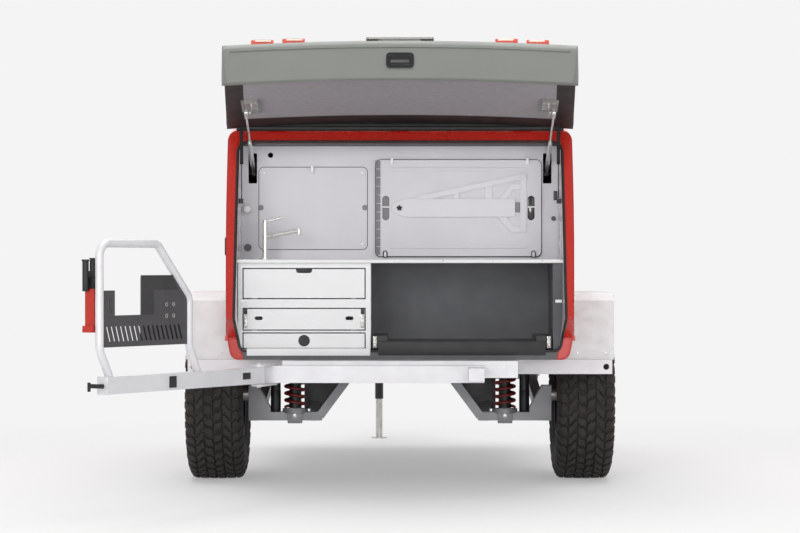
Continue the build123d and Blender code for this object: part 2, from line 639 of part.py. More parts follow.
crease = (HATCH_CHORD, CREASE_N)
chin_out = (HATCH_CHORD + CHIN_REACH, -CHIN_DEPTH)
chin_in = (chin_out[0] - HATCH_SKIN, -CHIN_DEPTH)
inner_end = (chin_in[0] - CHIN_SLOPE * (CHIN_DEPTH + SHELL_LOW_N), SHELL_LOW_N)
inner_start = (0, HATCH_TOP_N - HATCH_SKIN)
outer_mid = (HATCH_CHORD / 2, (HATCH_TOP_N + CREASE_N) / 2 + HATCH_BULGE)
inner_mid = (inner_end[0] / 2, outer_mid[1] - HATCH_SKIN)
shell_edges = [
    ThreePointArc((0, HATCH_TOP_N), outer_mid, crease),
    Line(crease, chin_out),
    Line(chin_out, chin_in),
    Line(chin_in, inner_end),
    ThreePointArc(inner_end, inner_mid, inner_start),
    Line(inner_start, (0, HATCH_TOP_N)),
]
shell_face = Face(Wire(shell_edges))
crease_corner = shell_face.vertices().sort_by_distance((*crease, 0))[0]
shell_face = fillet(crease_corner, CREASE_R)
hatch_shell = crowned(shell_face) & hatch_trim(0, -50, chin_out[0] + 2, CHIN_CORNER_R)
node("hatch_shell", hatch_shell)
under_edges = [
    ThreePointArc(inner_start, inner_mid, inner_end),
    Line(inner_end, (inner_end[0], MARGIN_N)),
    Line((inner_end[0], MARGIN_N), (0, MARGIN_N)),
    Line((0, MARGIN_N), inner_start),
]
liner_trim = hatch_trim(MARGIN_W, HINGE_STRIP, inner_end[0] - FRONT_STRIP, 0)
margin = crowned(Face(Wire(under_edges))) & hatch_trim(3, 4, inner_end[0], 0)
margin = margin - liner_trim - hatch_shell

# Hinges of the hatch: a knuckle on a foot on the roof, between two knuckles of the hatch
KNUCKLE_R = 8.0
KNUCKLE_HALF = 40.0
KNUCKLE_SIDE = 45.0
KNUCKLE_REACH = 2 * KNUCKLE_R
FOOT_LENGTH = 50.0
FOOT_LOW = 12.0
FOOT_PROUD = 4.0
roof_hinges = []
for hinge_x in (-560.0, 0.0, 560.0):
    ends = (hinge_x - KNUCKLE_HALF, hinge_x + KNUCKLE_HALF)
    foot_h = (HINGE_H - FOOT_LOW, HINGE_H + FOOT_PROUD)
    foot = block(ends, (HINGE_Y, HINGE_Y + FOOT_LENGTH), foot_h) - outer
    roof_hinges.append(foot + rod((ends[0], HINGE_Y, HINGE_H), (ends[1], HINGE_Y, HINGE_H), KNUCKLE_R))
    notch_x = (ends[0] - SEAT_GAP, ends[1] + SEAT_GAP)
    margin -= hatch_box((-KNUCKLE_REACH, KNUCKLE_REACH), notch_x, (-HATCH_TOP_N, HATCH_TOP_N))
    for sign in (-1, 1):
        near = hinge_x + sign * (KNUCKLE_HALF + SEAT_GAP)
        span = sorted((near, near + sign * KNUCKLE_SIDE))
        margin += rod((span[0], HINGE_Y, HINGE_H), (span[1], HINGE_Y, HINGE_H), KNUCKLE_R)
        margin += hatch_box((-6, 5), span, (-6, HATCH_TOP_N - HATCH_SKIN)) - hatch_shell
node("hatch_hinges", *roof_hinges)
node("hatch_margin", margin)
liner_n = (MARGIN_N, MARGIN_N + LINER_T)
liner_face = polygon((0, liner_n[0]), (inner_end[0], liner_n[0]), (inner_end[0], liner_n[1]), (0, liner_n[1]))
hatch_liner = ((crowned(liner_face) & liner_trim) - hatch_shell).solids().sort_by(SortBy.VOLUME)[-1]
node("hatch_liner", hatch_liner)

# Lamps, blank plate and paddle latch on the hatch
LAMP_S = HATCH_CHORD - 48
LAMP_SIZE = (30.0, 96.0)
LAMP_SUNK = 6.0
LAMP_PROUD = 17.0
LAMP_STEP = 0.6
seated = Pos(*(ALONG_N * LAMP_STEP))
lamps = []
for lamp_x in (450.0, 582.0):
    top = outer_n(LAMP_S, lamp_x)
    lens_s = (LAMP_S - LAMP_SIZE[0] / 2, LAMP_S + LAMP_SIZE[0] / 2)
    lens_x = (lamp_x - LAMP_SIZE[1] / 2, lamp_x + LAMP_SIZE[1] / 2)
    lens = hatch_box(lens_s, lens_x, (top - LAMP_SUNK, top + LAMP_PROUD))
    lens = seated * (fillet(lens.faces().sort_by(Axis.Z)[-1].edges(), 8) - hatch_shell)
    lamps += [lens, mirrored(lens)]
node("hatch_lamps", *lamps)
PLATE_LENGTH = 145.0
PLATE_BACK = 30.0
PLATE_S = (HATCH_CHORD - PLATE_BACK - PLATE_LENGTH, HATCH_CHORD - PLATE_BACK)
PLATE_HALF = 138.0
STAND_HALF = 90.0
plate_ends = [(s, outer_n(s, 0) + 9) for s in PLATE_S]
plate_face = polygon(*plate_ends, *[(s, n + 5) for s, n in reversed(plate_ends)])
plate = extrude(hatch_side * plate_face, PLATE_HALF, both=True)
stand_s = (PLATE_S[0] + 20, PLATE_S[0] + 50, PLATE_S[1] - 50, PLATE_S[1] - 20)
for s0, s1 in (stand_s[:2], stand_s[2:]):
    stand_n = outer_n((s0 + s1) / 2, 0)
    plate += hatch_box((s0, s1), (-STAND_HALF, STAND_HALF), (stand_n - 12, stand_n + 12)) - hatch_shell
node("plate_panel", seated * plate)
latch_n = CROWN_RISE - CHIN_DEPTH / 2
chin_s = HATCH_CHORD + CHIN_REACH / 2
latch = hatch_box((chin_s - 8, chin_s + 12), (-58, 58), (latch_n - 34, latch_n + 34))
latch = fillet(latch.edges().filter_by(lambda e: abs((e @ 1 - e @ 0).dot(ALONG_S)) > 10), 16)
latch -= hatch_box((chin_s + 4, chin_s + 13), (-44, 44), (latch_n - 22, latch_n + 24))
latch += hatch_box((chin_s + 3, chin_s + 20), (-40, 40), (latch_n - 2, latch_n + 20))
node("hatch_latch", latch - hatch_shell)

# Gas struts: barrel from an anchor behind the bulkhead, rod to a bracket under the hatch
STRUT_EYE = (330.0, -45.0)
ANCHOR_Y = HINGE_Y + 268
ANCHOR_H = HINGE_H - 199
BARREL_R = 10.0
ROD_R = 5.0
ROD_GAP = 0.5
BARREL_LENGTH = 340.0
BARREL_BLIND = 35.0
ROD_INSIDE = 15.0
EYE_HALF = 8.0
EYE_R = 13.0
STUD_R = 6.0
EYE_GAP = 5.0
anchor = Vector(STRUT_X, ANCHOR_Y, ANCHOR_H)
eye = Vector(*open_point(*STRUT_EYE, STRUT_X))
strut_line = eye - anchor
strut_way = strut_line.normalized()


def on_strut(distance):
    point = anchor + strut_way * distance
    return (point.X, point.Y, point.Z)


def cross_rod(centre, half, radius):
    return rod((centre.X - half, centre.Y, centre.Z), (centre.X + half, centre.Y, centre.Z), radius)


barrel = rod(on_strut(0), on_strut(BARREL_LENGTH), BARREL_R) + cross_rod(anchor, EYE_HALF, EYE_R)
barrel -= rod(on_strut(BARREL_BLIND), on_strut(BARREL_LENGTH + 1), ROD_R + ROD_GAP)
barrel -= cross_rod(anchor, BARREL_R + 2, STUD_R + SEAT_GAP)
node("strut_barrels", barrel, mirrored(barrel))
strut_rod = rod(on_strut(BARREL_LENGTH - ROD_INSIDE), on_strut(strut_line.length), ROD_R)
strut_rod += cross_rod(eye, EYE_HALF, EYE_R)
node("strut_rods", strut_rod, mirrored(strut_rod))
ear_in = SLOT_W / 2 + 2
ears = cross_rod(anchor, ear_in + 6, STUD_R)
for sign in (-1, 1):
    ear_x = sorted((STRUT_X + sign * ear_in, STRUT_X + sign * (ear_in + 6)))
    ears += block(ear_x, (BULKHEAD_Y + BULKHEAD_T, ANCHOR_Y + 14), (ANCHOR_H - 16, ANCHOR_H + 16))
bracket_x = STRUT_X - EYE_HALF - EYE_GAP
bracket_s, bracket_n = STRUT_EYE
BRACKET_HALF = 45.0
BRACKET_T = 9.0
TAB_HALF = 18.0
TAB_T = 6.0
bracket_ends = (bracket_s - BRACKET_HALF, bracket_s + BRACKET_HALF)
bracket_side = (bracket_x - 40, bracket_x + 20)
bracket = hatch_box(bracket_ends, bracket_side, (MARGIN_N - BRACKET_T, MARGIN_N + LINER_T))
bracket = bracket - hatch_liner - margin
bracket = bracket.solids().sort_by(Axis.Z)[0]
tab_x = (bracket_x - 8 - TAB_T, bracket_x - 8)
bracket += hatch_box((bracket_s - TAB_HALF, bracket_s + TAB_HALF), tab_x, (bracket_n - 16, MARGIN_N - 4))
bracket += rod(open_point(*STRUT_EYE, tab_x[0] + 4), open_point(*STRUT_EYE, bracket_x), STUD_R)
node("strut_brackets", bracket, mirrored(bracket))

# Limit straps between the side walls and the hatch
STRAP_W = 15.0
STRAP_T = 3.0
STRAP_Y = 135.0
STRAP_IN = 6.0
STRAP_LOW_H = 1330.0
STRAP_FOOT_LOW = 14.0
STRAP_FOOT_TOP = 8.0
strap_x = (INNER_HALF - STRAP_IN - STRAP_W, INNER_HALF - STRAP_IN)
strap_y = (STRAP_Y - STRAP_T / 2, STRAP_Y + STRAP_T / 2)
strap_top = HINGE_H + (HINGE_Y - strap_y[1]) * -tan(OPEN_TURN) + MARGIN_N - 6
strap = block(strap_x, strap_y, (STRAP_LOW_H + STRAP_FOOT_TOP, strap_top))
node("limit_straps", strap, mirrored(strap))
strap_foot_h = (STRAP_LOW_H - STRAP_FOOT_LOW, STRAP_LOW_H + STRAP_FOOT_TOP)
strap_foot = block((strap_x[0], INNER_HALF), (STRAP_Y - 10, STRAP_Y + 10), strap_foot_h)
node("hatch_anchors", ears, mirrored(ears), strap_foot, mirrored(strap_foot))

# Galley: bulkhead, counter, drawer cabinet and bay lining
SLOT_H = (1416.0, 1556.0)
SLOT_CORNER_R = 5.0
bulkhead_y = (BULKHEAD_Y, BULKHEAD_Y + BULKHEAD_T)
bulkhead = block((-BODY_HALF, BODY_HALF), bulkhead_y, (DECK_H, FULL_H)) & cavity
slot_face = rounded(SLOT_W, SLOT_H[1] - SLOT_H[0], SLOT_CORNER_R, STRUT_X, sum(SLOT_H) / 2)
slot = along(slot_face, BULKHEAD_Y - 1, BULKHEAD_Y + BULKHEAD_T + 1)
node("galley_bulkhead", bulkhead - slot - mirrored(slot))
COUNTER_TOP = COUNTER_H + COUNTER_T
counter = block((-INNER_HALF, INNER_HALF), (COUNTER_REAR_Y, BULKHEAD_Y), (COUNTER_H, COUNTER_TOP))
counter = fillet(counter.edges().filter_by(Axis.X).group_by(Axis.Y)[0], 5)
node("galley_counter", counter)

# Drawers: name, low and high edge of the front, finger cut
drawers = (
    ("drawer_upper", 887.0, 1018.0, "notch"),
    ("drawer_lower", 745.0, 838.0, "slots"),
    ("drawer_bottom", 662.0, 727.0, "hole"),
)
BOX_IN = 8.0
BOX_TOP_IN = 20.0
RUNNER_W = 25.0
RUNNER_IN = 30.0
THUMB_OUT = 205.0
front_mid = (FRONT_LEFT + FRONT_RIGHT) / 2


def finger_cut(kind, low, high):
    """The opening in a drawer front that a hand pulls it by."""
    ys = (FACE_Y - 1, FACE_Y + FRONT_T + 1)
    if kind == "notch":
        return along(rounded(72, 36, 12, front_mid, high), *ys)
    if kind == "hole":
        return rod((front_mid, ys[0], (low + high) / 2), (front_mid, ys[1], (low + high) / 2), 26)
    cut = along(rounded(36, 17, 8.4, front_mid - THUMB_OUT, high - 42), *ys)
    return cut + along(rounded(36, 17, 8.4, front_mid + THUMB_OUT, high - 42), *ys)


cabinet_x = (CABINET_LEFT, CABINET_RIGHT)
cabinet = block(cabinet_x, (FACE_Y, BULKHEAD_Y), (DECK_H, COUNTER_H)) & cavity
for drawer_name, low, high, kind in drawers:
    hole_x = (FRONT_LEFT - SLIDE_GAP, FRONT_RIGHT + SLIDE_GAP)
    cabinet -= block(hole_x, (FACE_Y - 1, DRAWER_BACK_Y + SLIDE_GAP), (low - SLIDE_GAP, high + SLIDE_GAP))
    box_x = (FRONT_LEFT + BOX_IN, FRONT_RIGHT - BOX_IN)
    box_h = (low + BOX_IN, high - BOX_TOP_IN)
    front_y = (FACE_Y, FACE_Y + FRONT_T)
    drawer = block((FRONT_LEFT, FRONT_RIGHT), front_y, (low, high))
    drawer += block(box_x, (front_y[1], DRAWER_BACK_Y), box_h)
    inside_x = (box_x[0] + DRAWER_WALL, box_x[1] - DRAWER_WALL)
    inside_y = (front_y[1], DRAWER_BACK_Y - DRAWER_WALL)
    drawer -= block(inside_x, inside_y, (box_h[0] + DRAWER_WALL, high + 1))
    drawer -= finger_cut(kind, low, high)
    node(drawer_name, drawer)
    for runner_x in (box_x[0] + RUNNER_IN, box_x[1] - RUNNER_IN - RUNNER_W):
        runner_y = (front_y[1] + 8, DRAWER_BACK_Y)
        runner_h = (low - SLIDE_GAP, box_h[0] - SEAT_GAP)
        cabinet += block((runner_x, runner_x + RUNNER_W), runner_y, runner_h)
node("drawer_cabinet", cabinet)
lining_h = (DECK_H, COUNTER_H)
lining_x = (BAY_RIGHT, BAY_RIGHT + BAY_LINING_T)
lining = block(lining_x, (FACE_Y, BULKHEAD_Y), lining_h)
back_y = (BULKHEAD_Y - BAY_LINING_T, BULKHEAD_Y)
lining += block((CABINET_RIGHT, BAY_RIGHT), back_y, lining_h)
lining += block((lining_x[1], INNER_HALF), (FACE_Y, FACE_Y + BAY_LINING_T), lining_h) & cavity

# Sliding tray on its runners
tray_x = (CABINET_RIGHT + SLIDE_GAP + 1, BAY_RIGHT - SLIDE_GAP - 1)
tray_y = (TRAY_REAR_Y, BULKHEAD_Y - BAY_LINING_T - SLIDE_GAP - 3)
tray_h = (TRAY_LOW_H, TRAY_LOW_H + TRAY_HIGH)
TRAY_CORNER = 70.0
TRAY_CORNER_HIGH = 24.0
tray = block(tray_x, tray_y, (tray_h[0], tray_h[1] + TRAY_CORNER_HIGH))
# What is cut from the tray: inset across, inset along, lowest height
tray_cuts = (
    (TRAY_T, TRAY_T, tray_h[0] + TRAY_T),
    (TRAY_CORNER, -1, tray_h[1]),
    (-1, TRAY_CORNER, tray_h[1]),
)
for in_x, in_y, low in tray_cuts:
    cut_x = (tray_x[0] + in_x, tray_x[1] - in_x)
    tray -= block(cut_x, (tray_y[0] + in_y, tray_y[1] - in_y), (low, FULL_H))
node("bay_tray", tray)
runners = []
for runner_x in (tray_x[0] + 60, tray_x[1] - 60 - RUNNER_W):
    runner_y = (FACE_Y, tray_y[1])
    runners.append(block((runner_x, runner_x + RUNNER_W), runner_y, (DECK_H, TRAY_LOW_H - SEAT_GAP)))
node("bay_lining", lining, *runners)

# Access panel, stowed table panel and its folded arm on the bulkhead
ACCESS_X = (-655.0, -153.0)
ACCESS_H = (1110.0, 1490.0)
PANEL_T = 4.0
access_size = (ACCESS_X[1] - ACCESS_X[0], ACCESS_H[1] - ACCESS_H[0])
access_face = rounded(*access_size, 22, sum(ACCESS_X) / 2, sum(ACCESS_H) / 2)
node("access_panel", along(access_face, BULKHEAD_Y - PANEL_T, BULKHEAD_Y))
TABLE_X = (-112.0, 655.0)
TABLE_H = (1078.0, 1524.0)
TABLE_T = 20.0
RIB_HIGH = 5.0
HAND_IN = 46.0
HAND_W = 32.0
HAND_HIGH = 114.0
table_y = (BULKHEAD_Y - TABLE_T, BULKHEAD_Y)
table_mid = (sum(TABLE_X) / 2, sum(TABLE_H) / 2)
table_face = rounded(TABLE_X[1] - TABLE_X[0], TABLE_H[1] - TABLE_H[0], 22, *table_mid)
for slot_x in (TABLE_X[0] + HAND_IN, TABLE_X[1] - HAND_IN):
    table_face -= rounded(HAND_W, HAND_HIGH, HAND_W / 2 - 0.1, slot_x, table_mid[1])
table = along(table_face, *table_y)
for rib_h in (TABLE_H[0] + 44, TABLE_H[1] - 44):
    rib_face = rounded(TABLE_X[1] - TABLE_X[0] - 130, 16, 7.9, table_mid[0], rib_h)
    table += along(rib_face, table_y[0] - RIB_HIGH, table_y[0])
node("table_panel", table)
TRUSS_T = 12.0
TRUSS_X = (-37.0, 540.0, 590.0)
TRUSS_H = (1258.0, 1344.0)
TRUSS_POST_LOW = 1190.0
TRUSS_POST_HIGH = 273.0
truss_post_top = TRUSS_POST_LOW + TRUSS_POST_HIGH
truss_face = polygon(
    (TRUSS_X[0], TRUSS_H[0] + 26),
    (TRUSS_X[0] + 28, TRUSS_H[0]),
    (TRUSS_X[1] + 1, TRUSS_H[0] + 6),
    (TRUSS_X[1] + 1, TRUSS_H[1] - 6),
    (TRUSS_X[0] + 28, TRUSS_H[1]),
    (TRUSS_X[0], TRUSS_H[1] - 26),
)
post_mid = ((TRUSS_X[1] + TRUSS_X[2]) / 2, TRUSS_POST_LOW + TRUSS_POST_HIGH / 2)
truss_face += rounded(TRUSS_X[2] - TRUSS_X[1], TRUSS_POST_HIGH, 8, *post_mid)
truss_face += polygon(
    (235, TRUSS_H[1] - 6),
    (300, TRUSS_H[1] - 6),
    (TRUSS_X[1] + 1, truss_post_top - 52),
    (TRUSS_X[1] + 1, truss_post_top - 10),
)
truss_face -= Pos(TRUSS_X[0] + 34, sum(TRUSS_H) / 2) * Circle(9)
node("table_arm", along(truss_face, table_y[0] - TRUSS_T, table_y[0]))

# Tap and small fittings
TAP_X = -620.0
TAP_Y = 255.0
TAP_H = 1242.0
tap = rod((TAP_X, TAP_Y, COUNTER_TOP), (TAP_X, TAP_Y, TAP_H), 11.5)
tap += rod((TAP_X, TAP_Y, COUNTER_TOP), (TAP_X, TAP_Y, COUNTER_TOP + 7), 24)
tap += rod((TAP_X, TAP_Y, TAP_H - 78), (TAP_X + 165, TAP_Y - 50, TAP_H - 46), 9)
tap += rod((TAP_X + 157, TAP_Y - 48, TAP_H - 40), (TAP_X + 157, TAP_Y - 48, TAP_H - 66), 10)
tap += rod((TAP_X, TAP_Y, TAP_H - 8), (TAP_X + 78, TAP_Y - 8, TAP_H + 12), 5)
node("galley_tap", tap)
# Fittings on the bulkhead: place across, height, radius, depth
fittings = (
    (-708.0, 1296.0, 15.0, 18.0),
    (-708.0, 1117.0, 17.0, 8.0),
    (714.0, 1253.0, 11.0, 8.0),
    (-602.0, 1547.0, 11.0, 3.0),
)
pieces = [rod((x, BULKHEAD_Y - deep, h), (x, BULKHEAD_Y, h), r) for x, h, r, deep in fittings]
node("galley_fittings", *pieces)

# Swing arm, drawn closed along +X from its hinge and then opened
ARM_TOP = ARM_LOW_H + ARM_HIGH
arm_place = Pos(ARM_HINGE_X, ARM_HINGE_Y, 0) * Rot(0, 0, -ARM_OPENING)
arm_beam = block((0, ARM_LENGTH), (-ARM_T / 2, ARM_T / 2), (ARM_LOW_H, ARM_TOP))
arm_beam += rod((0, 0, ARM_LOW_H), (0, 0, ARM_TOP), ARM_KNUCKLE_R)
arm_beam -= rod((0, 0, ARM_LOW_H - 1), (0, 0, ARM_TOP + 1), ARM_PIN_R + SEAT_GAP)
node("arm_beam", arm_place * arm_beam)
# Hoop corners: distance along the arm, height
HOOP_OUT = 1165.0
HOOP_TOP = 1123.0
HOOP_IN = 538.0
hoop_points = (
    (HOOP_IN - 74, ARM_TOP - 26),
    (HOOP_IN, 697.0),
    (HOOP_IN, 901.0),
    (769.0, HOOP_TOP),
    (HOOP_OUT, HOOP_TOP),
    (HOOP_OUT, 697.0),
    (HOOP_OUT - 80, ARM_TOP - 26),
)
hoop_path = Plane.XZ * FilletPolyline(*hoop_points, radius=HOOP_BEND_R)
hoop_start = Plane(origin=hoop_path @ 0, z_dir=hoop_path % 0)
hoop = sweep(hoop_start * Circle(HOOP_R), path=hoop_path) - arm_beam
node("arm_hoop", arm_place * hoop)
# Plate inside the hoop, with slanted slots, a tab, a notch and an edge along the hoop's diagonal
PLATE_LOW = 704.0
PLATE_TOP = 994.0
TAB_TOP = 933.0
NOTCH_U = (881.0, 1064.0)
NOTCH_LOW = 832.0
diagonal = (HOOP_TOP - hoop_points[2][1]) / (hoop_points[3][0] - HOOP_IN)
plate_in = HOOP_IN + HOOP_R / 2
plate_out = HOOP_OUT - HOOP_R / 2
plate_face = polygon(
    (plate_in, PLATE_LOW),
    (plate_out, PLATE_LOW),
    (plate_out, TAB_TOP),
    (NOTCH_U[1], TAB_TOP),
    (NOTCH_U[1], NOTCH_LOW),
    (NOTCH_U[0], NOTCH_LOW),
    (NOTCH_U[0], PLATE_TOP),
    (HOOP_IN + (PLATE_TOP - hoop_points[2][1]) / diagonal + HOOP_R / 2, PLATE_TOP),
    (plate_in, hoop_points[2][1] + 8),
)
SLOT_LOW, SLOT_TOP, SLOT_WIDE, SLOT_SLANT = 727.0, 787.0, 12.0, 22.0
slot_pitch = (plate_out - plate_in - 110) / (PLATE_SLOTS - 1)
for index in range(PLATE_SLOTS):
    u = plate_in + 42 + index * slot_pitch
    slot_foot = [(u, SLOT_LOW), (u + SLOT_WIDE, SLOT_LOW)]
    slot_head = [(u + SLOT_WIDE + SLOT_SLANT, SLOT_TOP), (u + SLOT_SLANT, SLOT_TOP)]
    plate_face -= polygon(*slot_foot, *slot_head)
MOUNT_U, MOUNT_H, MOUNT_PITCH, MOUNT_HOLE_R = 680.0, 848.0, 50.0, 5.0
for du in (-MOUNT_PITCH / 2, MOUNT_PITCH / 2):
    for dh in (-MOUNT_PITCH / 2, MOUNT_PITCH / 2):
        plate_face -= Pos(MOUNT_U + du, MOUNT_H + dh) * Circle(MOUNT_HOLE_R)
SLIT_W, SLIT_HIGH = 7.0, 64.0
for slit_u in (NOTCH_U[1] + 22, NOTCH_U[1] + 40):
    plate_face -= rounded(SLIT_W, SLIT_HIGH, SLIT_W / 2 - 0.1, slit_u, (NOTCH_LOW + TAB_TOP) / 2 - 10)
arm_plate = along(plate_face, -PLATE_T / 2, PLATE_T / 2) - hoop
FOLD_U = (745.0, 800.0)
FOLD_LOW = 830.0
FOLD_HIGH = 155.0
fold_h = (FOLD_LOW, FOLD_LOW + FOLD_HIGH)
fold_y = (-PLATE_FOLD, -PLATE_T / 2)
arm_plate += block((FOLD_U[1] - PLATE_T, FOLD_U[1]), fold_y, fold_h)
arm_plate += block(FOLD_U, (fold_y[0], fold_y[0] + PLATE_T), fold_h)
arm_plate += block(FOLD_U, fold_y, (FOLD_LOW, FOLD_LOW + PLATE_T))
node("arm_plate", arm_place * arm_plate)
# Lifting jack clamped to the hoop's outer upright: red stand with a foot and a black handle above it
STAND_U = (HOOP_OUT - 32, HOOP_OUT + 14)
stand_y = (-HOOP_R - 44, -HOOP_R)
stand = block(STAND_U, stand_y, (790, 985))
stand += block((STAND_U[0] - 10, STAND_U[1] + 10), (stand_y[0] - 6, stand_y[1]), (765, 792))
stand -= block((STAND_U[0] + 12, STAND_U[1] - 12), (stand_y[0] - 7, stand_y[1] - 10), (812, 960))
for rung_h in (846, 884, 922):
    stand += block((STAND_U[0] + 6, STAND_U[1] - 6), (stand_y[0] + 8, stand_y[1] - 8), (rung_h, rung_h + 12))
stand_mid = (sum(STAND_U) / 2, sum(stand_y) / 2)
stand += rod((*stand_mid, 984), (*stand_mid, 1060), 10)
node("arm_jack", arm_place * stand)
PULL_OUT = 46.0
pull_h = (ARM_LOW_H + ARM_TOP) / 2
pull = rod((ARM_LENGTH, 0, pull_h), (ARM_LENGTH + PULL_OUT, 0, pull_h), 8)
pull += rod((ARM_LENGTH + PULL_OUT, -34, pull_h), (ARM_LENGTH + PULL_OUT, 34, pull_h), 9)
node("arm_pull_pin", arm_place * pull)

# The finished pieces, moved to the coupler's frame
to_coupler = Pos(0, -COUPLER_Y, -COUPLER_H)
os.makedirs("parts", exist_ok=True)
for name, solids in NODES.items():
    export_step(to_coupler * Compound(solids), f"parts/{name}.step")
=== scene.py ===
import json
from math import cos, pi, radians, sin, sqrt, tau

import bmesh
import bpy
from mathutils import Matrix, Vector


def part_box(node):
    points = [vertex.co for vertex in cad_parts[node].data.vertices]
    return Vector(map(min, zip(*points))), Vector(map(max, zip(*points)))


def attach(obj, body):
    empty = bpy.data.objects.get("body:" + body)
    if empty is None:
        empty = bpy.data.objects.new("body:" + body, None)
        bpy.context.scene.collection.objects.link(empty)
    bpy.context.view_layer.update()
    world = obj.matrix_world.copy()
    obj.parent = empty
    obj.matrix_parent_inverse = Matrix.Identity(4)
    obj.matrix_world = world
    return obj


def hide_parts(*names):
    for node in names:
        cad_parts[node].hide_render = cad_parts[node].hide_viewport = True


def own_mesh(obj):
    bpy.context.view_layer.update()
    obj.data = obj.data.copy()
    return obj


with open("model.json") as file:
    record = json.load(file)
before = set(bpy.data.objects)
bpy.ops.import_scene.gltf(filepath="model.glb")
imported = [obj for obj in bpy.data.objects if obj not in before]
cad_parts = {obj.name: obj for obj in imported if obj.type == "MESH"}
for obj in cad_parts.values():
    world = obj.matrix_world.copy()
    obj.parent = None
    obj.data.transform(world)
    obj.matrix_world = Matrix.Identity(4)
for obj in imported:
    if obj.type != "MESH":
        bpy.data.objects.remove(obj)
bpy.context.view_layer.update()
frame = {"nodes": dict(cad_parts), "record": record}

# Places below are given as in the drawing, in millimetres: across to the right seen from the rear, forward
# of the rear datum, and above the ground. The frame's origin is the coupler.
MM = 0.001
COUPLER = Vector((0.0, 4300.0, 550.0))
GROUND_Z = -COUPLER.z * MM
# Hatch: its hinge, its turn when open, its length, and heights of its outer panel above that chord
HATCH_HINGE = Vector((0.0, 212.0, 1664.0))
HATCH_TURN = radians(163.5)
HATCH_CHORD = 987.0
HATCH_TOP_N = 38.0
HATCH_BULGE = 70.0
CREASE_N = 15.0
CROWN_RISE = 25.4
# Swing arm: its hinge and its turn when open
ARM_HINGE = Vector((-620.0, -260.0, 0.0))
ARM_TURN = radians(-120.0)
# Cabin: half-widths inside and outside, the galley's bulkhead and the drawers' faces
INNER_HALF = 734.0
BODY_HALF = 788.0
BULKHEAD_Y = 400.0
FACE_Y = 45.0
AXLE_Y = 960.0
TYRE_R = 407.5
WHEEL = Vector((882.0, AXLE_Y, TYRE_R))
SIDES = {"left": -1, "right": 1}


def row(x, y, h):
    """A point of the drawing in the frame, in metres."""
    return (Vector((x, y, h)) - COUPLER) * MM


def on_hatch(x, s, n):
    """A point of the open hatch: across, along its chord from the hinge, and out from the chord."""
    along = Vector((0, cos(HATCH_TURN), sin(HATCH_TURN)))
    out = Vector((0, sin(HATCH_TURN), -cos(HATCH_TURN)))
    return row(*(HATCH_HINGE + along * s + out * n + Vector((x, 0, 0))))


def on_arm(u, w, h):
    """A point of the open swing arm: along it from its hinge, across it, and above the ground."""
    turned = Vector((u * cos(ARM_TURN) - w * sin(ARM_TURN), u * sin(ARM_TURN) + w * cos(ARM_TURN), h))
    return row(*(ARM_HINGE + turned))


# Materials

# The part of a noise's range that is used, the drift of the gloss, and the depth of fine relief in metres
CLOUD_LOW, CLOUD_HIGH = 0.3, 0.7
GLOSS_DRIFT = 0.12
RELIEF = 0.001


def srgb(*levels):
    """A colour from 8-bit display levels."""
    shares = [level / 255 for level in levels]
    linear = [share / 12.92 if share <= 0.04045 else ((share + 0.055) / 1.055) ** 2.4 for share in shares]
    return (*linear, 1.0)


def shade(colour, share):
    """A colour made darker or lighter."""
    return (*[min(1.0, level * share) for level in colour[:3]], 1.0)


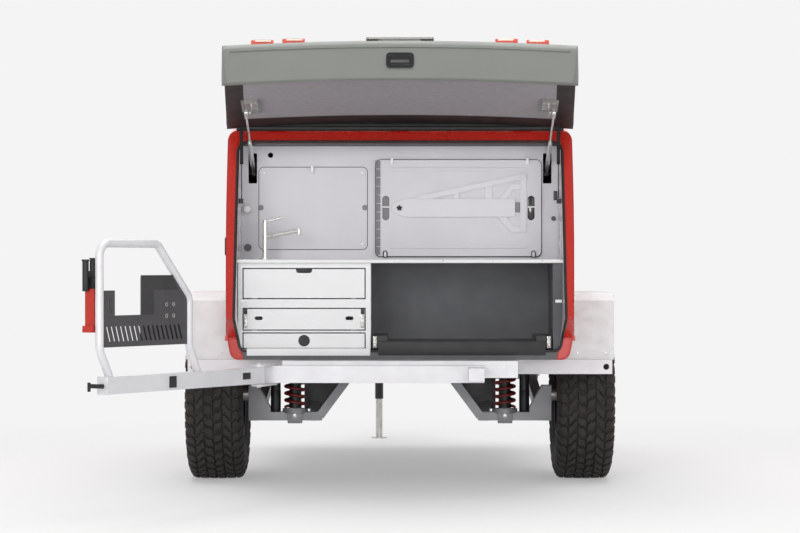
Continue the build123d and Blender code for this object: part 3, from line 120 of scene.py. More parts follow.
class Surface:
    """A node material under construction, with short ways to add and join its nodes."""

    def __init__(self, name):
        self.material = bpy.data.materials.new(name)
        self.material.use_nodes = True
        self.tree = self.material.node_tree
        self.shader = self.tree.nodes["Principled BSDF"]
        self.coords = self.tree.nodes.new("ShaderNodeTexCoord")

    def add(self, kind, links=None, **values):
        """A new node; each value sets one of its properties, or else one of its inputs."""
        made = self.tree.nodes.new(kind)
        for key, value in values.items():
            if hasattr(made, key):
                setattr(made, key, value)
            else:
                made.inputs[key.replace("_", " ")].default_value = value
        for socket, source in (links or {}).items():
            self.tree.links.new(source, made.inputs[socket])
        return made

    def link(self, source, socket):
        self.tree.links.new(source, self.shader.inputs[socket])

    def place(self, stretch=(1, 1, 1)):
        """The surface's own coordinates, stretched along its axes."""
        made = self.add("ShaderNodeMapping", {"Vector": self.coords.outputs["Object"]}, Scale=stretch)
        return made.outputs[0]

    def noise(self, scale, detail=3.0, stretch=(1, 1, 1)):
        made = self.add("ShaderNodeTexNoise", {"Vector": self.place(stretch)}, Scale=scale, Detail=detail)
        return made.outputs["Fac"]

    def spread(self, value, low, high):
        """A noise mapped on to a range."""
        made = self.add("ShaderNodeMapRange", {"Value": value}, From_Min=CLOUD_LOW, From_Max=CLOUD_HIGH,
                        To_Min=low, To_Max=high)
        return made.outputs[0]

    def mix(self, factor, first, second):
        """Two colours mixed by a factor; each is a colour or a node's output."""
        made = self.add("ShaderNodeMix", {0: factor}, data_type="RGBA")
        for index, colour in ((6, first), (7, second)):
            if isinstance(colour, tuple):
                made.inputs[index].default_value = colour
            else:
                self.tree.links.new(colour, made.inputs[index])
        return made.outputs[2]

    def tones(self, cloud, colour, vary):
        """A colour that drifts between a darker and a lighter tone."""
        return self.mix(cloud, shade(colour, 1 - vary), shade(colour, 1 + vary))

    def sums(self, operation, first, second):
        """A sum or test of two values; each is a number or a node's output."""
        made = self.add("ShaderNodeMath", operation=operation)
        for index, value in enumerate((first, second)):
            if isinstance(value, (int, float)):
                made.inputs[index].default_value = value
            else:
                self.tree.links.new(value, made.inputs[index])
        return made.outputs[0]

    def axis(self, name, output="Object"):
        """One coordinate of the surface's own position or normal."""
        split = self.add("ShaderNodeSeparateXYZ", {0: self.coords.outputs[output]})
        return split.outputs[name]

    def bump(self, height, strength, normal=None):
        """Fine relief, over a softened normal where one is given."""
        links = {"Height": height}
        if normal is not None:
            links["Normal"] = normal
        made = self.add("ShaderNodeBump", links, Strength=strength, Distance=RELIEF)
        self.link(made.outputs[0], "Normal")

    def ribs(self, direction, scale, strength):
        """Fine ribs across one direction, in place of the grain."""
        wave = self.add("ShaderNodeTexWave", {"Vector": self.place()}, bands_direction=direction, Scale=scale)
        self.bump(wave.outputs["Fac"], strength)


def finish(name, colour, roughness, vary=0.06, scale=5.0, grain=0.0, grain_scale=700.0, edge=1.5,
           stretch=(1, 1, 1), **sockets):
    """A surface with slow colour and gloss changes, a fine grain and softened edges."""
    made = Surface(name)
    cloud = made.spread(made.noise(scale, stretch=stretch), 0, 1)
    made.link(made.tones(cloud, colour, vary), "Base Color")
    gloss = made.noise(scale * 3)
    dull = min(1.0, roughness * (1 + GLOSS_DRIFT))
    made.link(made.spread(gloss, roughness * (1 - GLOSS_DRIFT), dull), "Roughness")
    soft = made.add("ShaderNodeBevel", samples=4, Radius=edge * MM)
    made.bump(made.noise(grain_scale, 2.0, stretch), grain, soft.outputs[0])
    for socket, value in sockets.items():
        made.shader.inputs[socket.replace("_", " ")].default_value = value
    return made


def two_tone(made, colour, second, mask, vary=0.05):
    """Gives a finish a second colour where the mask is one."""
    cloud = made.spread(made.noise(5.0), 0, 1)
    made.link(made.mix(mask, made.tones(cloud, colour, vary), made.tones(cloud, second, vary)), "Base Color")
    return made.material


RED = srgb(184, 33, 20)
JACK_RED = srgb(178, 42, 30)
SILVER = srgb(206, 205, 208)
GALLEY = srgb(214, 212, 216)
# A lighter copy of the galley grey for the drawers, cabinet and counter at the galley's open front: painted
# light
LIT_DRAWER = srgb(224, 224, 225)
CHARCOAL = srgb(92, 93, 96)
BLACK = srgb(26, 26, 27)
HATCH_GREEN = srgb(116, 119, 113)
LINER = srgb(148, 143, 146)
# Softened edges of moulded panels, of pressed ones and of the hatch, in millimetres
MOULDED_EDGE = 20.0
PRESSED_EDGE = 3.0
HATCH_EDGE = 14.0
# Two-tone limits: how far a skin faces the cabin, where the roof's inside starts and the jack turns black
SKIN_INWARD = -0.35
ROOF_DOWN = -0.55
ROOF_BACK = -0.2
ROOF_INSIDE_Y = 300.0
JACK_BLACK_H = 940.0
SKIN_VARY = 0.03


def red_paint(name, edge):
    return finish(name, RED, 0.28, vary=0.02, edge=edge, Coat_Weight=0.25, Coat_Roughness=0.08)


def wall_paint(name, edge):
    """Side wall and door skins: red outside, galley grey on the side that faces the cabin."""
    made = red_paint(name, edge)
    across = made.sums("MULTIPLY", made.axis("X"), made.axis("X", "Normal"))
    inward = made.sums("LESS_THAN", across, SKIN_INWARD)
    return two_tone(made, RED, GALLEY, inward, SKIN_VARY)


def roof_paint():
    """Roof skin: red outside, galley grey underneath and behind the nose."""
    made = red_paint("body_red_roof", MOULDED_EDGE)
    under = made.sums("LESS_THAN", made.axis("Z", "Normal"), ROOF_DOWN)
    ahead = made.sums("GREATER_THAN", made.axis("Y"), row(0, ROOF_INSIDE_Y, 0).y)
    behind = made.sums("LESS_THAN", made.axis("Y", "Normal"), ROOF_BACK)
    inside = made.sums("MAXIMUM", under, made.sums("MULTIPLY", ahead, behind))
    return two_tone(made, RED, GALLEY, inside, SKIN_VARY)


def jack_paint():
    """The lifting jack: red stand, black tube above it."""
    made = finish("jack_red", JACK_RED, 0.4, grain=0.05)
    high = made.sums("GREATER_THAN", made.axis("Z"), row(0, 0, JACK_BLACK_H).z)
    return two_tone(made, JACK_RED, BLACK, high)


def webbing():
    """Woven strap: fine ribs across it."""
    made = finish("webbing", srgb(30, 30, 31), 0.85, grain=0.3, grain_scale=1500)
    made.ribs("Z", 160.0, 0.6)
    return made.material


def lens():
    """Lamp lens: clear red over fine moulded ribs."""
    made = finish("lamp_red", srgb(222, 88, 72), 0.14, vary=0.1, scale=30, Coat_Weight=0.8,
                  Coat_Roughness=0.05, Subsurface_Weight=0.3, Subsurface_Radius=(0.02, 0.006, 0.004))
    made.ribs("X", 60.0, 0.25)
    return made.material


MATERIALS = {"lamp_red": lens(), "webbing": webbing(), "jack_red": jack_paint()}


def paint(name, *look, **details):
    """A plain finish, kept under its name."""
    MATERIALS[name] = finish(name, *look, **details).material
    return MATERIALS[name]


# Finishes of the record's material slots
MATERIALS["body_red"] = wall_paint("body_red_wall", MOULDED_EDGE)
paint("deck_dark", srgb(86, 86, 88), 0.6, grain=0.15)
paint("black_plastic", BLACK, 0.5, vary=0.15, grain=0.25, grain_scale=1200)
paint("frame_silver", SILVER, 0.42, vary=0.05, scale=9, grain=0.12, grain_scale=500, Metallic=0.25)
paint("fender_aluminium", srgb(208, 209, 210), 0.44, vary=0.06, scale=14, grain=0.25, grain_scale=160,
      Metallic=0.3)
paint("frame_black", BLACK, 0.45, vary=0.15, grain=0.15)
paint("zinc", srgb(196, 194, 190), 0.34, vary=0.12, scale=60, grain=0.1, Metallic=0.85)
paint("arm_grey", srgb(146, 147, 149), 0.46, vary=0.08, grain=0.12, Metallic=0.3)
paint("spring_red", srgb(118, 24, 24), 0.4, vary=0.15, scale=30, grain=0.1)
paint("galley_silver", GALLEY, 0.5, vary=0.025, grain=0.1, grain_scale=1000)
paint("bay_charcoal", CHARCOAL, 0.75, vary=0.1, grain=0.3, grain_scale=900)
paint("tap_steel", srgb(226, 224, 220), 0.3, vary=0.06, scale=20, grain=0.08, Metallic=0.6,
      stretch=(1, 1, 0.1))
paint("fitting_grey", srgb(60, 60, 62), 0.4, vary=0.1, grain=0.1)
paint("tyre_black", srgb(43, 40, 38), 0.82, vary=0.25, scale=18, grain=0.5, grain_scale=900, edge=1.0)
paint("rim_black", srgb(38, 38, 40), 0.35, vary=0.12, grain=0.08, Metallic=0.3)
paint("hatch_grey", HATCH_GREEN, 0.38, vary=0.03, grain=0.05, grain_scale=200, edge=HATCH_EDGE,
      Coat_Weight=0.35, Coat_Roughness=0.2)
paint("liner_grey", LINER, 0.92, vary=0.06, scale=40, grain=0.6, grain_scale=1400)
paint("plate_bare", srgb(222, 222, 224), 0.35, vary=0.04, grain=0.05)
paint("strut_silver", srgb(214, 214, 214), 0.22, vary=0.05, scale=30, Metallic=0.75)
paint("plate_dark", srgb(68, 66, 68), 0.55, vary=0.06, grain=0.25, grain_scale=900)
paint("window_glass", srgb(34, 37, 40), 0.05, vary=0.05, Transmission_Weight=0.75, IOR=1.49)
# Finishes of single pieces
DOOR_RED = wall_paint("body_red_door", PRESSED_EDGE)
ROOF_RED = roof_paint()
LIT_DRAWER_GREY = paint("lit_drawer_grey", LIT_DRAWER, 0.48, vary=0.02, grain=0.08, grain_scale=1000)
KNOB_WHITE = paint("knob_white", srgb(240, 240, 240), 0.35, vary=0.02, grain=0.03)
ARM_SILVER = paint("arm_silver", srgb(216, 215, 218), 0.42, vary=0.05, scale=9, grain=0.12, grain_scale=500,
                   Metallic=0.2)
# A darker copy of the arm plate's grey for its folded rim: painted shade in the fold
FOLD_SHADE = paint("fold_shade", srgb(50, 50, 51), 0.6, vary=0.06, grain=0.25, grain_scale=900)
GLOSS_BLACK = paint("gloss_black", srgb(20, 20, 21), 0.18, vary=0.1, grain=0.02, Coat_Weight=0.5)
# Pale lens colour for inserts on the lamps: a painted highlight standing in for the glints on the lenses
LENS_GLINT = paint("lens_glint", srgb(246, 226, 214), 0.12, vary=0.03, Coat_Weight=0.6)
# A lighter copy of the galley grey for the stowed table's folded arm: painted light, standing in for the
# shade on the panel round it
FOLDED_LIT_GREY = paint("folded_lit_grey", srgb(219, 217, 221), 0.5, vary=0.02, grain=0.1, grain_scale=1000)
SLOT_GREY = paint("slot_grey", srgb(134, 132, 135), 0.6, vary=0.05, grain=0.1)
# Pieces at the galley's open front, which take the lighter grey as painted light
LIT_FRONT_NODES = ("drawer_upper", "drawer_lower", "drawer_bottom", "drawer_cabinet", "galley_counter")
OWN_MATERIAL = {
    "roof_shell": ROOF_RED,
    "door_left": DOOR_RED,
    "door_right": DOOR_RED,
    "hatch_anchors": MATERIALS["black_plastic"],
    "hatch_latch": GLOSS_BLACK,
    **dict.fromkeys(LIT_FRONT_NODES, LIT_DRAWER_GREY),
    **dict.fromkeys(("arm_beam", "arm_hoop", "outrigger_beams"), ARM_SILVER),
}


def dress_nodes():
    """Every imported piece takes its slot's finish, or one of its own."""
    for part in frame["record"]["subparts"]:
        piece = frame["nodes"][part["node"]]
        made = OWN_MATERIAL.get(part["node"], MATERIALS[part["material_slot"]])
        if not piece.material_slots:
            piece.data.materials.append(made)
        for place in piece.material_slots:
            place.material = made


# Shapes


class Kit:
    """Collects small shapes, each given in a drawing frame, into one mesh piece."""

    def __init__(self, spot=row):
        self.mesh = bmesh.new()
        self.spot = spot

    def take(self, part):
        """Adds a shape, moved from its drawing frame into the frame."""
        for vertex in part.verts:
            vertex.co = self.spot(*vertex.co)
        bmesh.ops.recalc_face_normals(part, faces=part.faces[:])
        held = bpy.data.meshes.new("held")
        part.to_mesh(held)
        part.free()
        self.mesh.from_mesh(held)
        bpy.data.meshes.remove(held)

    def box(self, xs, ys, zs, bevel=1.0, segments=2):
        """A box between two limits along each axis, its edges rounded."""
        part = bmesh.new()
        bmesh.ops.create_cube(part, size=1.0)
        for vertex in part.verts:
            share = vertex.co + Vector((0.5, 0.5, 0.5))
            vertex.co = Vector([pair[0] + part_share * (pair[1] - pair[0])
                                for pair, part_share in zip((xs, ys, zs), share)])
        if bevel:
            bmesh.ops.bevel(part, geom=part.edges[:], offset=bevel, segments=segments, profile=0.5,
                            affect="EDGES", clamp_overlap=True)
        self.take(part)

    def plate(self, corners, y0, y1):
        """A flat plate between two depths, its corners given across and up."""
        part = bmesh.new()
        near, far = ([part.verts.new((x, y, z)) for x, z in corners] for y in (y0, y1))
        part.faces.new(near)
        part.faces.new(list(reversed(far)))
        for index in range(len(corners)):
            after = (index + 1) % len(corners)
            part.faces.new((near[index], far[index], far[after], near[after]))
        self.take(part)

    def disc(self, centre, axis, radius, deep, bevel=0.0, sides=24, top_radius=None):
        """A round boss that starts at the centre and grows along one axis by a signed depth."""
        part = bmesh.new()
        bmesh.ops.create_cone(part, cap_ends=True, segments=sides, radius1=radius,
                              radius2=radius if top_radius is None else top_radius, depth=1.0)
        for vertex in part.verts:
            a, b, c = vertex.co.x, vertex.co.y, (vertex.co.z + 0.5) * deep
            turned = {"x": (c, a, b), "y": (a, c, b), "z": (a, b, c)}[axis]
            vertex.co = Vector(centre) + Vector(turned)
        if bevel:
            rims = [edge for edge in part.edges if len(edge.link_faces) == 2
                    and max(len(face.verts) for face in edge.link_faces) > 4]
            bmesh.ops.bevel(part, geom=rims, offset=bevel, segments=2, profile=0.5, affect="EDGES")
        self.take(part)

    def ring(self, xs, zs, y0, y1, width, radius, steps=6):
        """A flat rounded frame between two depths, its outer limits given across and up."""
        part = bmesh.new()
        loops = []
        for inset in (0.0, width):
            round_r = max(radius - inset, 0.5)
            points = []
            for cx, cz, start in ((xs[1], zs[1], 0), (xs[0], zs[1], 1), (xs[0], zs[0], 2), (xs[1], zs[0], 3)):
                sx, sz = (1 if cx == xs[1] else -1), (1 if cz == zs[1] else -1)
                mid = (cx - sx * (inset + round_r), cz - sz * (inset + round_r))
                for step in range(steps + 1):
                    turn = (start + step / steps) * pi / 2
                    points.append((mid[0] + round_r * cos(turn), mid[1] + round_r * sin(turn)))
            loops.append(points)
        rows = [[part.verts.new((x, y, z)) for x, z in loop] for loop in loops for y in (y0, y1)]
        outer_low, outer_high, inner_low, inner_high = rows
        count = len(outer_low)
        for index in range(count):
            after = (index + 1) % count
            for first, second in ((outer_low, outer_high), (outer_high, inner_high), (inner_high, inner_low),
                                  (inner_low, outer_low)):
                part.faces.new((first[index], first[after], second[after], second[index]))
        self.take(part)

    def done(self, name, body, slot, material=None, angle=35):
        mesh = bpy.data.meshes.new(name)
        self.mesh.to_mesh(mesh)
        self.mesh.free()
        mesh.materials.append(material or MATERIALS[slot])
        return settle(mesh, name, body, angle)


def stand(name, data):
    """A new object in the scene."""
    made = bpy.data.objects.new(name, data)
    bpy.context.scene.collection.objects.link(made)
    return made


def settle(mesh, name, body, angle):
    """A finished mesh becomes a piece that rides on a body."""
    mesh.shade_smooth()
    mesh.set_sharp_from_angle(angle=radians(angle))
    piece = stand(name, mesh)
    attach(piece, body)
    return piece


def rounded_path(points, radii, steps=6):
    """Points of a closed polyline with its corners rounded, each by a radius of its own."""
    made = []
    count = len(points)
    for index, corner in enumerate(points):
        before, after = points[index - 1], points[(index + 1) % count]
        cut = min(radii[index], (before - corner).length / 2.1, (after - corner).length / 2.1)
        start = corner + (before - corner).normalized() * cut
        end = corner + (after - corner).normalized() * cut
        for step in range(steps + 1):
            share = step / steps
            made.append(start * (1 - share) ** 2 + corner * 2 * share * (1 - share) + end * share**2)
    return made


def tube(name, points, radius, body, slot, closed=False):
    """A round bead or bar along points of the frame, radius in millimetres."""
    curve = bpy.data.curves.new(name, "CURVE")
    curve.dimensions = "3D"
    curve.bevel_depth = radius * MM
    curve.bevel_resolution = 3
    curve.use_fill_caps = True
    line = curve.splines.new("POLY")
    line.points.add(len(points) - 1)
    for place, point in zip(line.points, points):
        place.co = (*point, 1.0)
    line.use_cyclic_u = closed
    held = stand(name + "_path", curve)
    mesh = bpy.data.meshes.new_from_object(held)
    bpy.data.objects.remove(held)
    mesh.name = name
    mesh.materials.clear()
    mesh.materials.append(MATERIALS[slot])
    return settle(mesh, name, body, angle=60)


# Wheels

# Tyre carcass: places out from the middle under the tread, then the sidewall as places out and radii
TREAD_HALF = 105.5
TREAD_DEEP = 11.0
TREAD_FALL = 3.0
SHOULDER_HALF = 133.5
SHOULDER_FALL = 33.0
CARCASS_PLACES = (0.0, 60.0, 100.0, 116.0, 126.0)
SIDEWALL = ((131.0, 372.0), (134.0, 352.0), (136.5, 334.0), (137.5, 312.0), (136.0, 290.0), (133.2, 286.0),
            (132.2, 262.0), (126.0, 240.0), (112.0, 217.0))
CARCASS_STEPS = 120
# Tread: blocks round the tyre, and the gap, wave and stagger of a block as shares of its pitch
PITCHES = 46
TREAD_GAP = 0.23
TREAD_WAVE = 0.13
TREAD_STAGGER = 0.09
# Tread rows: stations across the tyre, offset round it and skew, both as shares of a pitch
TREAD_ROWS = (
    ((4.0, 12.0, 20.0, 29.0, 38.0), 0.0, 0.55),
    ((47.0, 56.0, 65.0, 74.0, 83.0), 0.42, -0.45),
    ((92.0, 105.0, 118.0, 128.0), 0.12, 0.3),
)
# Shoulder blocks run on down the sidewall: place out and radius of top and foot; every second one is long
LUG_BEND = (134.5, 366.0, 129.0, 362.0)
LUG_LONG_END = (138.0, 346.0, 133.0, 344.0)
LUG_SHORT_END = (138.0, 356.0, 133.0, 354.0)
LUG_EDGE = 1.3
# Hub cap's face out from the wheel's middle, and the radius of the nuts' circle
HUB_OUT = 86.0
NUT_CIRCLE = 58.0
NUTS = 6


def crown(x):
    """Radius of the tread's outline at a distance from the tyre's middle."""
    past = max(0.0, abs(x) - TREAD_HALF) / (SHOULDER_HALF - TREAD_HALF)
    return TYRE_R - TREAD_FALL * (min(abs(x), TREAD_HALF) / TREAD_HALF) ** 2 - SHOULDER_FALL * past**2


def tyre(side):
    """A tyre's carcass, turned round the axle, with its tread blocks."""
    sign = SIDES[side]

    def spot(x, radius, turn):
        return row(sign * WHEEL.x + x, WHEEL.y + radius * sin(turn), WHEEL.z + radius * cos(turn))

    kit = Kit(spot)
    half = [(x, crown(x) - TREAD_DEEP) for x in CARCASS_PLACES] + list(SIDEWALL)
    section = [(-x, r) for x, r in reversed(half[1:])] + half
    part = bmesh.new()
    turns = [tau * step / CARCASS_STEPS for step in range(CARCASS_STEPS)]
    loops = [[part.verts.new((x, r, turn)) for x, r in section] for turn in turns]
    for step in range(CARCASS_STEPS):
        near, far = loops[step], loops[(step + 1) % CARCASS_STEPS]
        for index in range(len(section) - 1):
            part.faces.new((near[index], near[index + 1], far[index + 1], far[index]))
        part.faces.new((near[-1], near[0], far[0], far[-1]))
    kit.take(part)
    pitch = tau / PITCHES
    for index in range(PITCHES):
        for hand in (-1, 1):
            for stations, offset, skew in TREAD_ROWS:
                stagger = TREAD_STAGGER * (index % 2)
                start = (index + offset + stagger + (0.5 if hand > 0 else 0.0)) * pitch
                lug(kit, stations, start, pitch, skew, hand, long=index % 2 == 0)
    piece = kit.done(f"tyre_{side}_tread", f"wheel_{side}", "tyre_black", angle=28)
    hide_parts(f"tyre_{side}")


def lug(kit, stations, start, pitch, skew, hand, long):
    """One tread block: a skewed, waved bar across the tread; shoulder ones run down the sidewall."""
    part = bmesh.new()
    width = stations[-1] - stations[0]
    places = [(x, crown(x), x, crown(x) - TREAD_DEEP - 1) for x in stations]
    if stations[-1] > TREAD_HALF:
        places += [LUG_BEND, LUG_LONG_END if long else LUG_SHORT_END]
    trim = LUG_EDGE / TYRE_R
    loops = []
    for x, top_r, base_x, base_r in places:
        share = (min(x, stations[-1]) - stations[0]) / width
        lean = skew * (share - 0.5)
        wave = TREAD_WAVE * sin(tau * share)
        low = start + pitch * (TREAD_GAP / 2 + lean + wave)
        high = start + pitch * (1 - TREAD_GAP / 2 - TREAD_STAGGER + lean + wave)
        loops.append([
            part.verts.new((hand * base_x, base_r, low)),
            part.verts.new((hand * x, top_r, low + trim)),
            part.verts.new((hand * x, top_r, high - trim)),
            part.verts.new((hand * base_x, base_r, high)),
        ])
    for near, far in zip(loops, loops[1:]):
        for index in range(3):
            part.faces.new((near[index], near[index + 1], far[index + 1], far[index]))
        part.faces.new((near[3], near[0], far[0], far[3]))
    part.faces.new(loops[0])
    part.faces.new(list(reversed(loops[-1])))
    kit.take(part)


def wheel_trim(side):
    """Hub cap and wheel nuts on the outer side of the rim."""
    sign = SIDES[side]
    kit = Kit()
    face_x = sign * (WHEEL.x + HUB_OUT)
    kit.disc((face_x, WHEEL.y, WHEEL.z), "x", 44, sign * 24, 5, 32, 36)
    for index in range(NUTS):
        turn = tau * (index + 0.5) / NUTS
        centre = (face_x, WHEEL.y + NUT_CIRCLE * sin(turn), WHEEL.z + NUT_CIRCLE * cos(turn))
        kit.disc(centre, "x", 10, sign * 16, 1.5, 6)
    kit.done(f"wheel_nuts_{side}", f"wheel_{side}", "zinc")


# Cabin

# Rear rim: forward place and height of the chin's two corners, and the rake above them
CHIN_RIM = ((23.3, 708.4), (-122.8, 795.2))
RIM_RAKE = 0.404
# The side walls tuck in below a height, on a radius
TUCK_H = 834.0
TUCK_R = 846.0
# Galley seal: how far it lies outside the opening, its radius, and height and rounding of its corners
SEAL_OUT = 7.0
SEAL_R = 6.5
SEAL_CORNERS = ((649.0, 46.0), (CHIN_RIM[0][1], 12.0), (CHIN_RIM[1][1], 12.0), (1200.0, 60.0), (1600.0, 60.0))
# Side doors: limits forward and up of the window's frame, the handle's cover and its grip, and the seal
WINDOW_Y, WINDOW_H = (1820.0, 2280.0), (1125.0, 1455.0)
WINDOW_STEP = 6.0
HANDLE_Y, HANDLE_H = (1728.0, 1852.0), (1030.0, 1120.0)
GRIP_Y, GRIP_H = (1738.0, 1842.0), (1062.0, 1104.0)
DOOR_SEAL_Y, DOOR_SEAL_H = (1694.0, 2406.0), (754.0, 1506.0)
# Roof vent's ribs, in metres: half-width, distance from the lid's ends, and how far they are sunk and proud
RIBS = 5
RIB_HALF = 0.008
RIB_INSET = 0.05
RIB_SUNK = 0.003
RIB_PROUD = 0.005


def rim_line(h):
    """Forward place of the cabin's rear rim at a height: the sill, its chin and the raked rim."""
    chin_low, chin_high = CHIN_RIM
    if h <= chin_low[1]:
        return chin_low[0]
    if h <= chin_high[1]:
        share = (h - chin_low[1]) / (chin_high[1] - chin_low[1])
        return chin_low[0] + share * (chin_high[0] - chin_low[0])
    return chin_high[0] + (h - chin_high[1]) * RIM_RAKE


def inner_half(h):
    """Half-width of the cabin's inside at a height."""
    if h >= TUCK_H:
        return INNER_HALF
    return INNER_HALF - TUCK_R + sqrt(TUCK_R**2 - (TUCK_H - h) ** 2)


def gasket():
    """Black bulb seal round the galley opening, just outside its inner edge, and the strip over it."""
    heights = [h for h, _ in SEAL_CORNERS]
    radii = [radius * MM for _, radius in SEAL_CORNERS]
    right = [row(inner_half(h) + SEAL_OUT, rim_line(h) + 1.0, h) for h in heights]
    left = [Vector((-point.x, point.y, point.z)) for point in reversed(right)]
    path = rounded_path(right + left, radii + radii[::-1])
    tube("galley_seal", path, SEAL_R, "trailer", "black_plastic", closed=True)
    header = Kit()
    header.box((-732.0, 732.0), (206.0, 213.0), (1580.0, 1600.0), 2.0)
    header.done("galley_header", "trailer", "fitting_grey")


def door_trim(side):
    """Window frame, latch handle and edge seal of a side door."""
    sign = SIDES[side]
    body = f"side_door_{side}"

    def spot(y, x, h):
        return row(sign * x, y, h)

    kit = Kit(spot)
    kit.ring(WINDOW_Y, WINDOW_H, BODY_HALF - 34, BODY_HALF + 5, 17, 74, 8)
    bead_y, bead_h = ((low + WINDOW_STEP, high - WINDOW_STEP) for low, high in (WINDOW_Y, WINDOW_H))
    kit.ring(bead_y, bead_h, BODY_HALF + 4, BODY_HALF + 8, 6, 68, 8)
    kit.done(f"window_frame_{side}", body, "black_plastic")
    latch = Kit(spot)
    latch.ring(HANDLE_Y, HANDLE_H, BODY_HALF, BODY_HALF + 6, 12, 18)
    latch.box(GRIP_Y, (BODY_HALF + 6, BODY_HALF + 18), GRIP_H, 5, 3)
    latch.done(f"door_handle_cover_{side}", body, "black_plastic")
    seal = Kit(spot)
    seal.ring(DOOR_SEAL_Y, DOOR_SEAL_H, BODY_HALF - 6, BODY_HALF + 3, 10, 96, 8)
    seal.done(f"door_seal_{side}", "trailer", "black_plastic")


def roof_trim():
    """Ribs on the roof vent's lid."""
    low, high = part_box("roof_vent")
    kit = Kit(lambda x, y, z: Vector((x, y, z)))
    span = high - low
    for index in range(RIBS):
        x = low.x + span.x * (0.2 + 0.15 * index)
        rib_y = (low.y + RIB_INSET, high.y - RIB_INSET)
        kit.box((x - RIB_HALF, x + RIB_HALF), rib_y, (high.z - RIB_SUNK, high.z + RIB_PROUD), 0.002)
    kit.done("vent_ribs", "trailer", "black_plastic")


# Galley

# Fronts of the access panel, of the stowed table and of its folded arm, and a plane just off the bulkhead
ACCESS_Y = BULKHEAD_Y - 4
TABLE_Y = BULKHEAD_Y - 20
FOLDED_Y = BULKHEAD_Y - 32
SKIN_Y = BULKHEAD_Y - 0.4
# Limits of the two panels' outlines, across and up
ACCESS_X, ACCESS_H = (-658.0, -150.0), (1107.0, 1493.0)
TABLE_X, TABLE_H = (-116.0, 659.0), (1072.0, 1528.0)
# Fittings: places across, or across and up
PANEL_CLIPS = ((-408.0, 1480.0), (-38.0, 1516.0), (592.0, 1516.0))
TABLE_HOOKS = (-69.0, 620.0)
END_CLIPS = (-713.0, 716.0)
ACCESS_PULLS = (-647.0, -163.0)
ACCESS_SCREWS = ((-632.0, 1465.0), (-176.0, 1465.0), (-632.0, 1135.0), (-176.0, 1135.0))
COUNTER_SCREWS = (-27.0, 195.0, 419.0, 642.0)
HAND_SLOTS = (-66.0, 609.0)
# The table's hinge strip: its leaves, where the lowest starts, their pitch and their length
LEAVES = 11
LEAF_LOW = 1084.0
LEAF_PITCH = 40.0
LEAF_LONG = 37.0
# The stowed table's folded arm: corners of its blade and of the members behind it, across and up
FOLDED_BLADE = (
    (-37.0, 1292.0), (-26.0, 1281.0), (22.0, 1258.0), (534.0, 1260.0),
    (534.0, 1344.0), (22.0, 1344.0), (-26.0, 1322.0), (-37.0, 1311.0),
)
FOLDED_MEMBERS = (
    ((78.0, 1342.0), (142.0, 1342.0), (560.0, 1432.0), (588.0, 1438.0), (588.0, 1463.0), (571.0, 1461.0),
     (78.0, 1355.0)),
    ((246.0, 1340.0), (274.0, 1340.0), (274.0, 1382.0), (246.0, 1376.0)),
    ((394.0, 1340.0), (427.0, 1340.0), (427.0, 1415.0), (394.0, 1408.0)),
    ((455.0, 1340.0), (490.0, 1340.0), (528.0, 1386.0), (562.0, 1388.0), (562.0, 1412.0), (514.0, 1411.0)),
    ((452.0, 1262.0), (492.0, 1262.0), (526.0, 1213.0), (562.0, 1213.0), (562.0, 1190.0), (514.0, 1190.0)),
    ((558.0, 1190.0), (588.0, 1190.0), (588.0, 1440.0), (558.0, 1434.0)),
)
MEMBER_STEP = 0.6
# Its pivot and its knob, across and up, and the knob's lobes
FOLDED_PIVOT = (575.0, 1448.0)
FOLDED_KNOB = (-3.0, 1301.0)
KNOB_LOBES = 5
LOBE_CIRCLE = 8.0
# Drawers and tray: places of the latches and of the finger hole, heights of latches, and limits of the strips
DRAWER_LATCHES = (-697.0, -169.0)
DRAWER_LATCH_H = (752.0, 813.0)
LATCH_TOP_H = (814.0, 837.5)
FINGER_HOLE = (-433.0, 694.5)
TRAY_LATCH_H = (662.0, 715.0)
TRAY_LATCH_IN = 13.0
SKIRT_IN = 28.0
KICK_X = (-690.0, -134.0)


def galley_panels():
    """Outlines of the access panel and the stowed table, and clips on them and at the ends."""
    lines = Kit()
    lines.ring(ACCESS_X, ACCESS_H, SKIN_Y, SKIN_Y - 1.2, 3.2, 24)
    lines.ring(TABLE_X, TABLE_H, SKIN_Y, SKIN_Y - 2.5, 4.5, 25)
    lines.box((714.0, 732.0), (BULKHEAD_Y - 3, SKIN_Y), (1338.0, 1381.0), 2)
    lines.disc((-602.0, BULKHEAD_Y, 1547.0), "y", 12, -3, 0.8)
    lines.done("galley_lines", "trailer", "fitting_grey")
    clips = Kit()
    for x, h in PANEL_CLIPS:
        clips.box((x - 7, x + 7), (BULKHEAD_Y - 32, BULKHEAD_Y), (h - 14, h + 18), 3)
    for x in TABLE_HOOKS:
        clips.box((x - 5, x + 5), (BULKHEAD_Y - 30, BULKHEAD_Y), (1074.0, 1096.0), 3)
    for x in END_CLIPS:
        clips.box((x - 15, x + 15), (FACE_Y - 5, FACE_Y - 0.5), (866.0, 880.0), 1.5)
    clips.done("galley_clips", "trailer", "galley_silver", KNOB_WHITE)


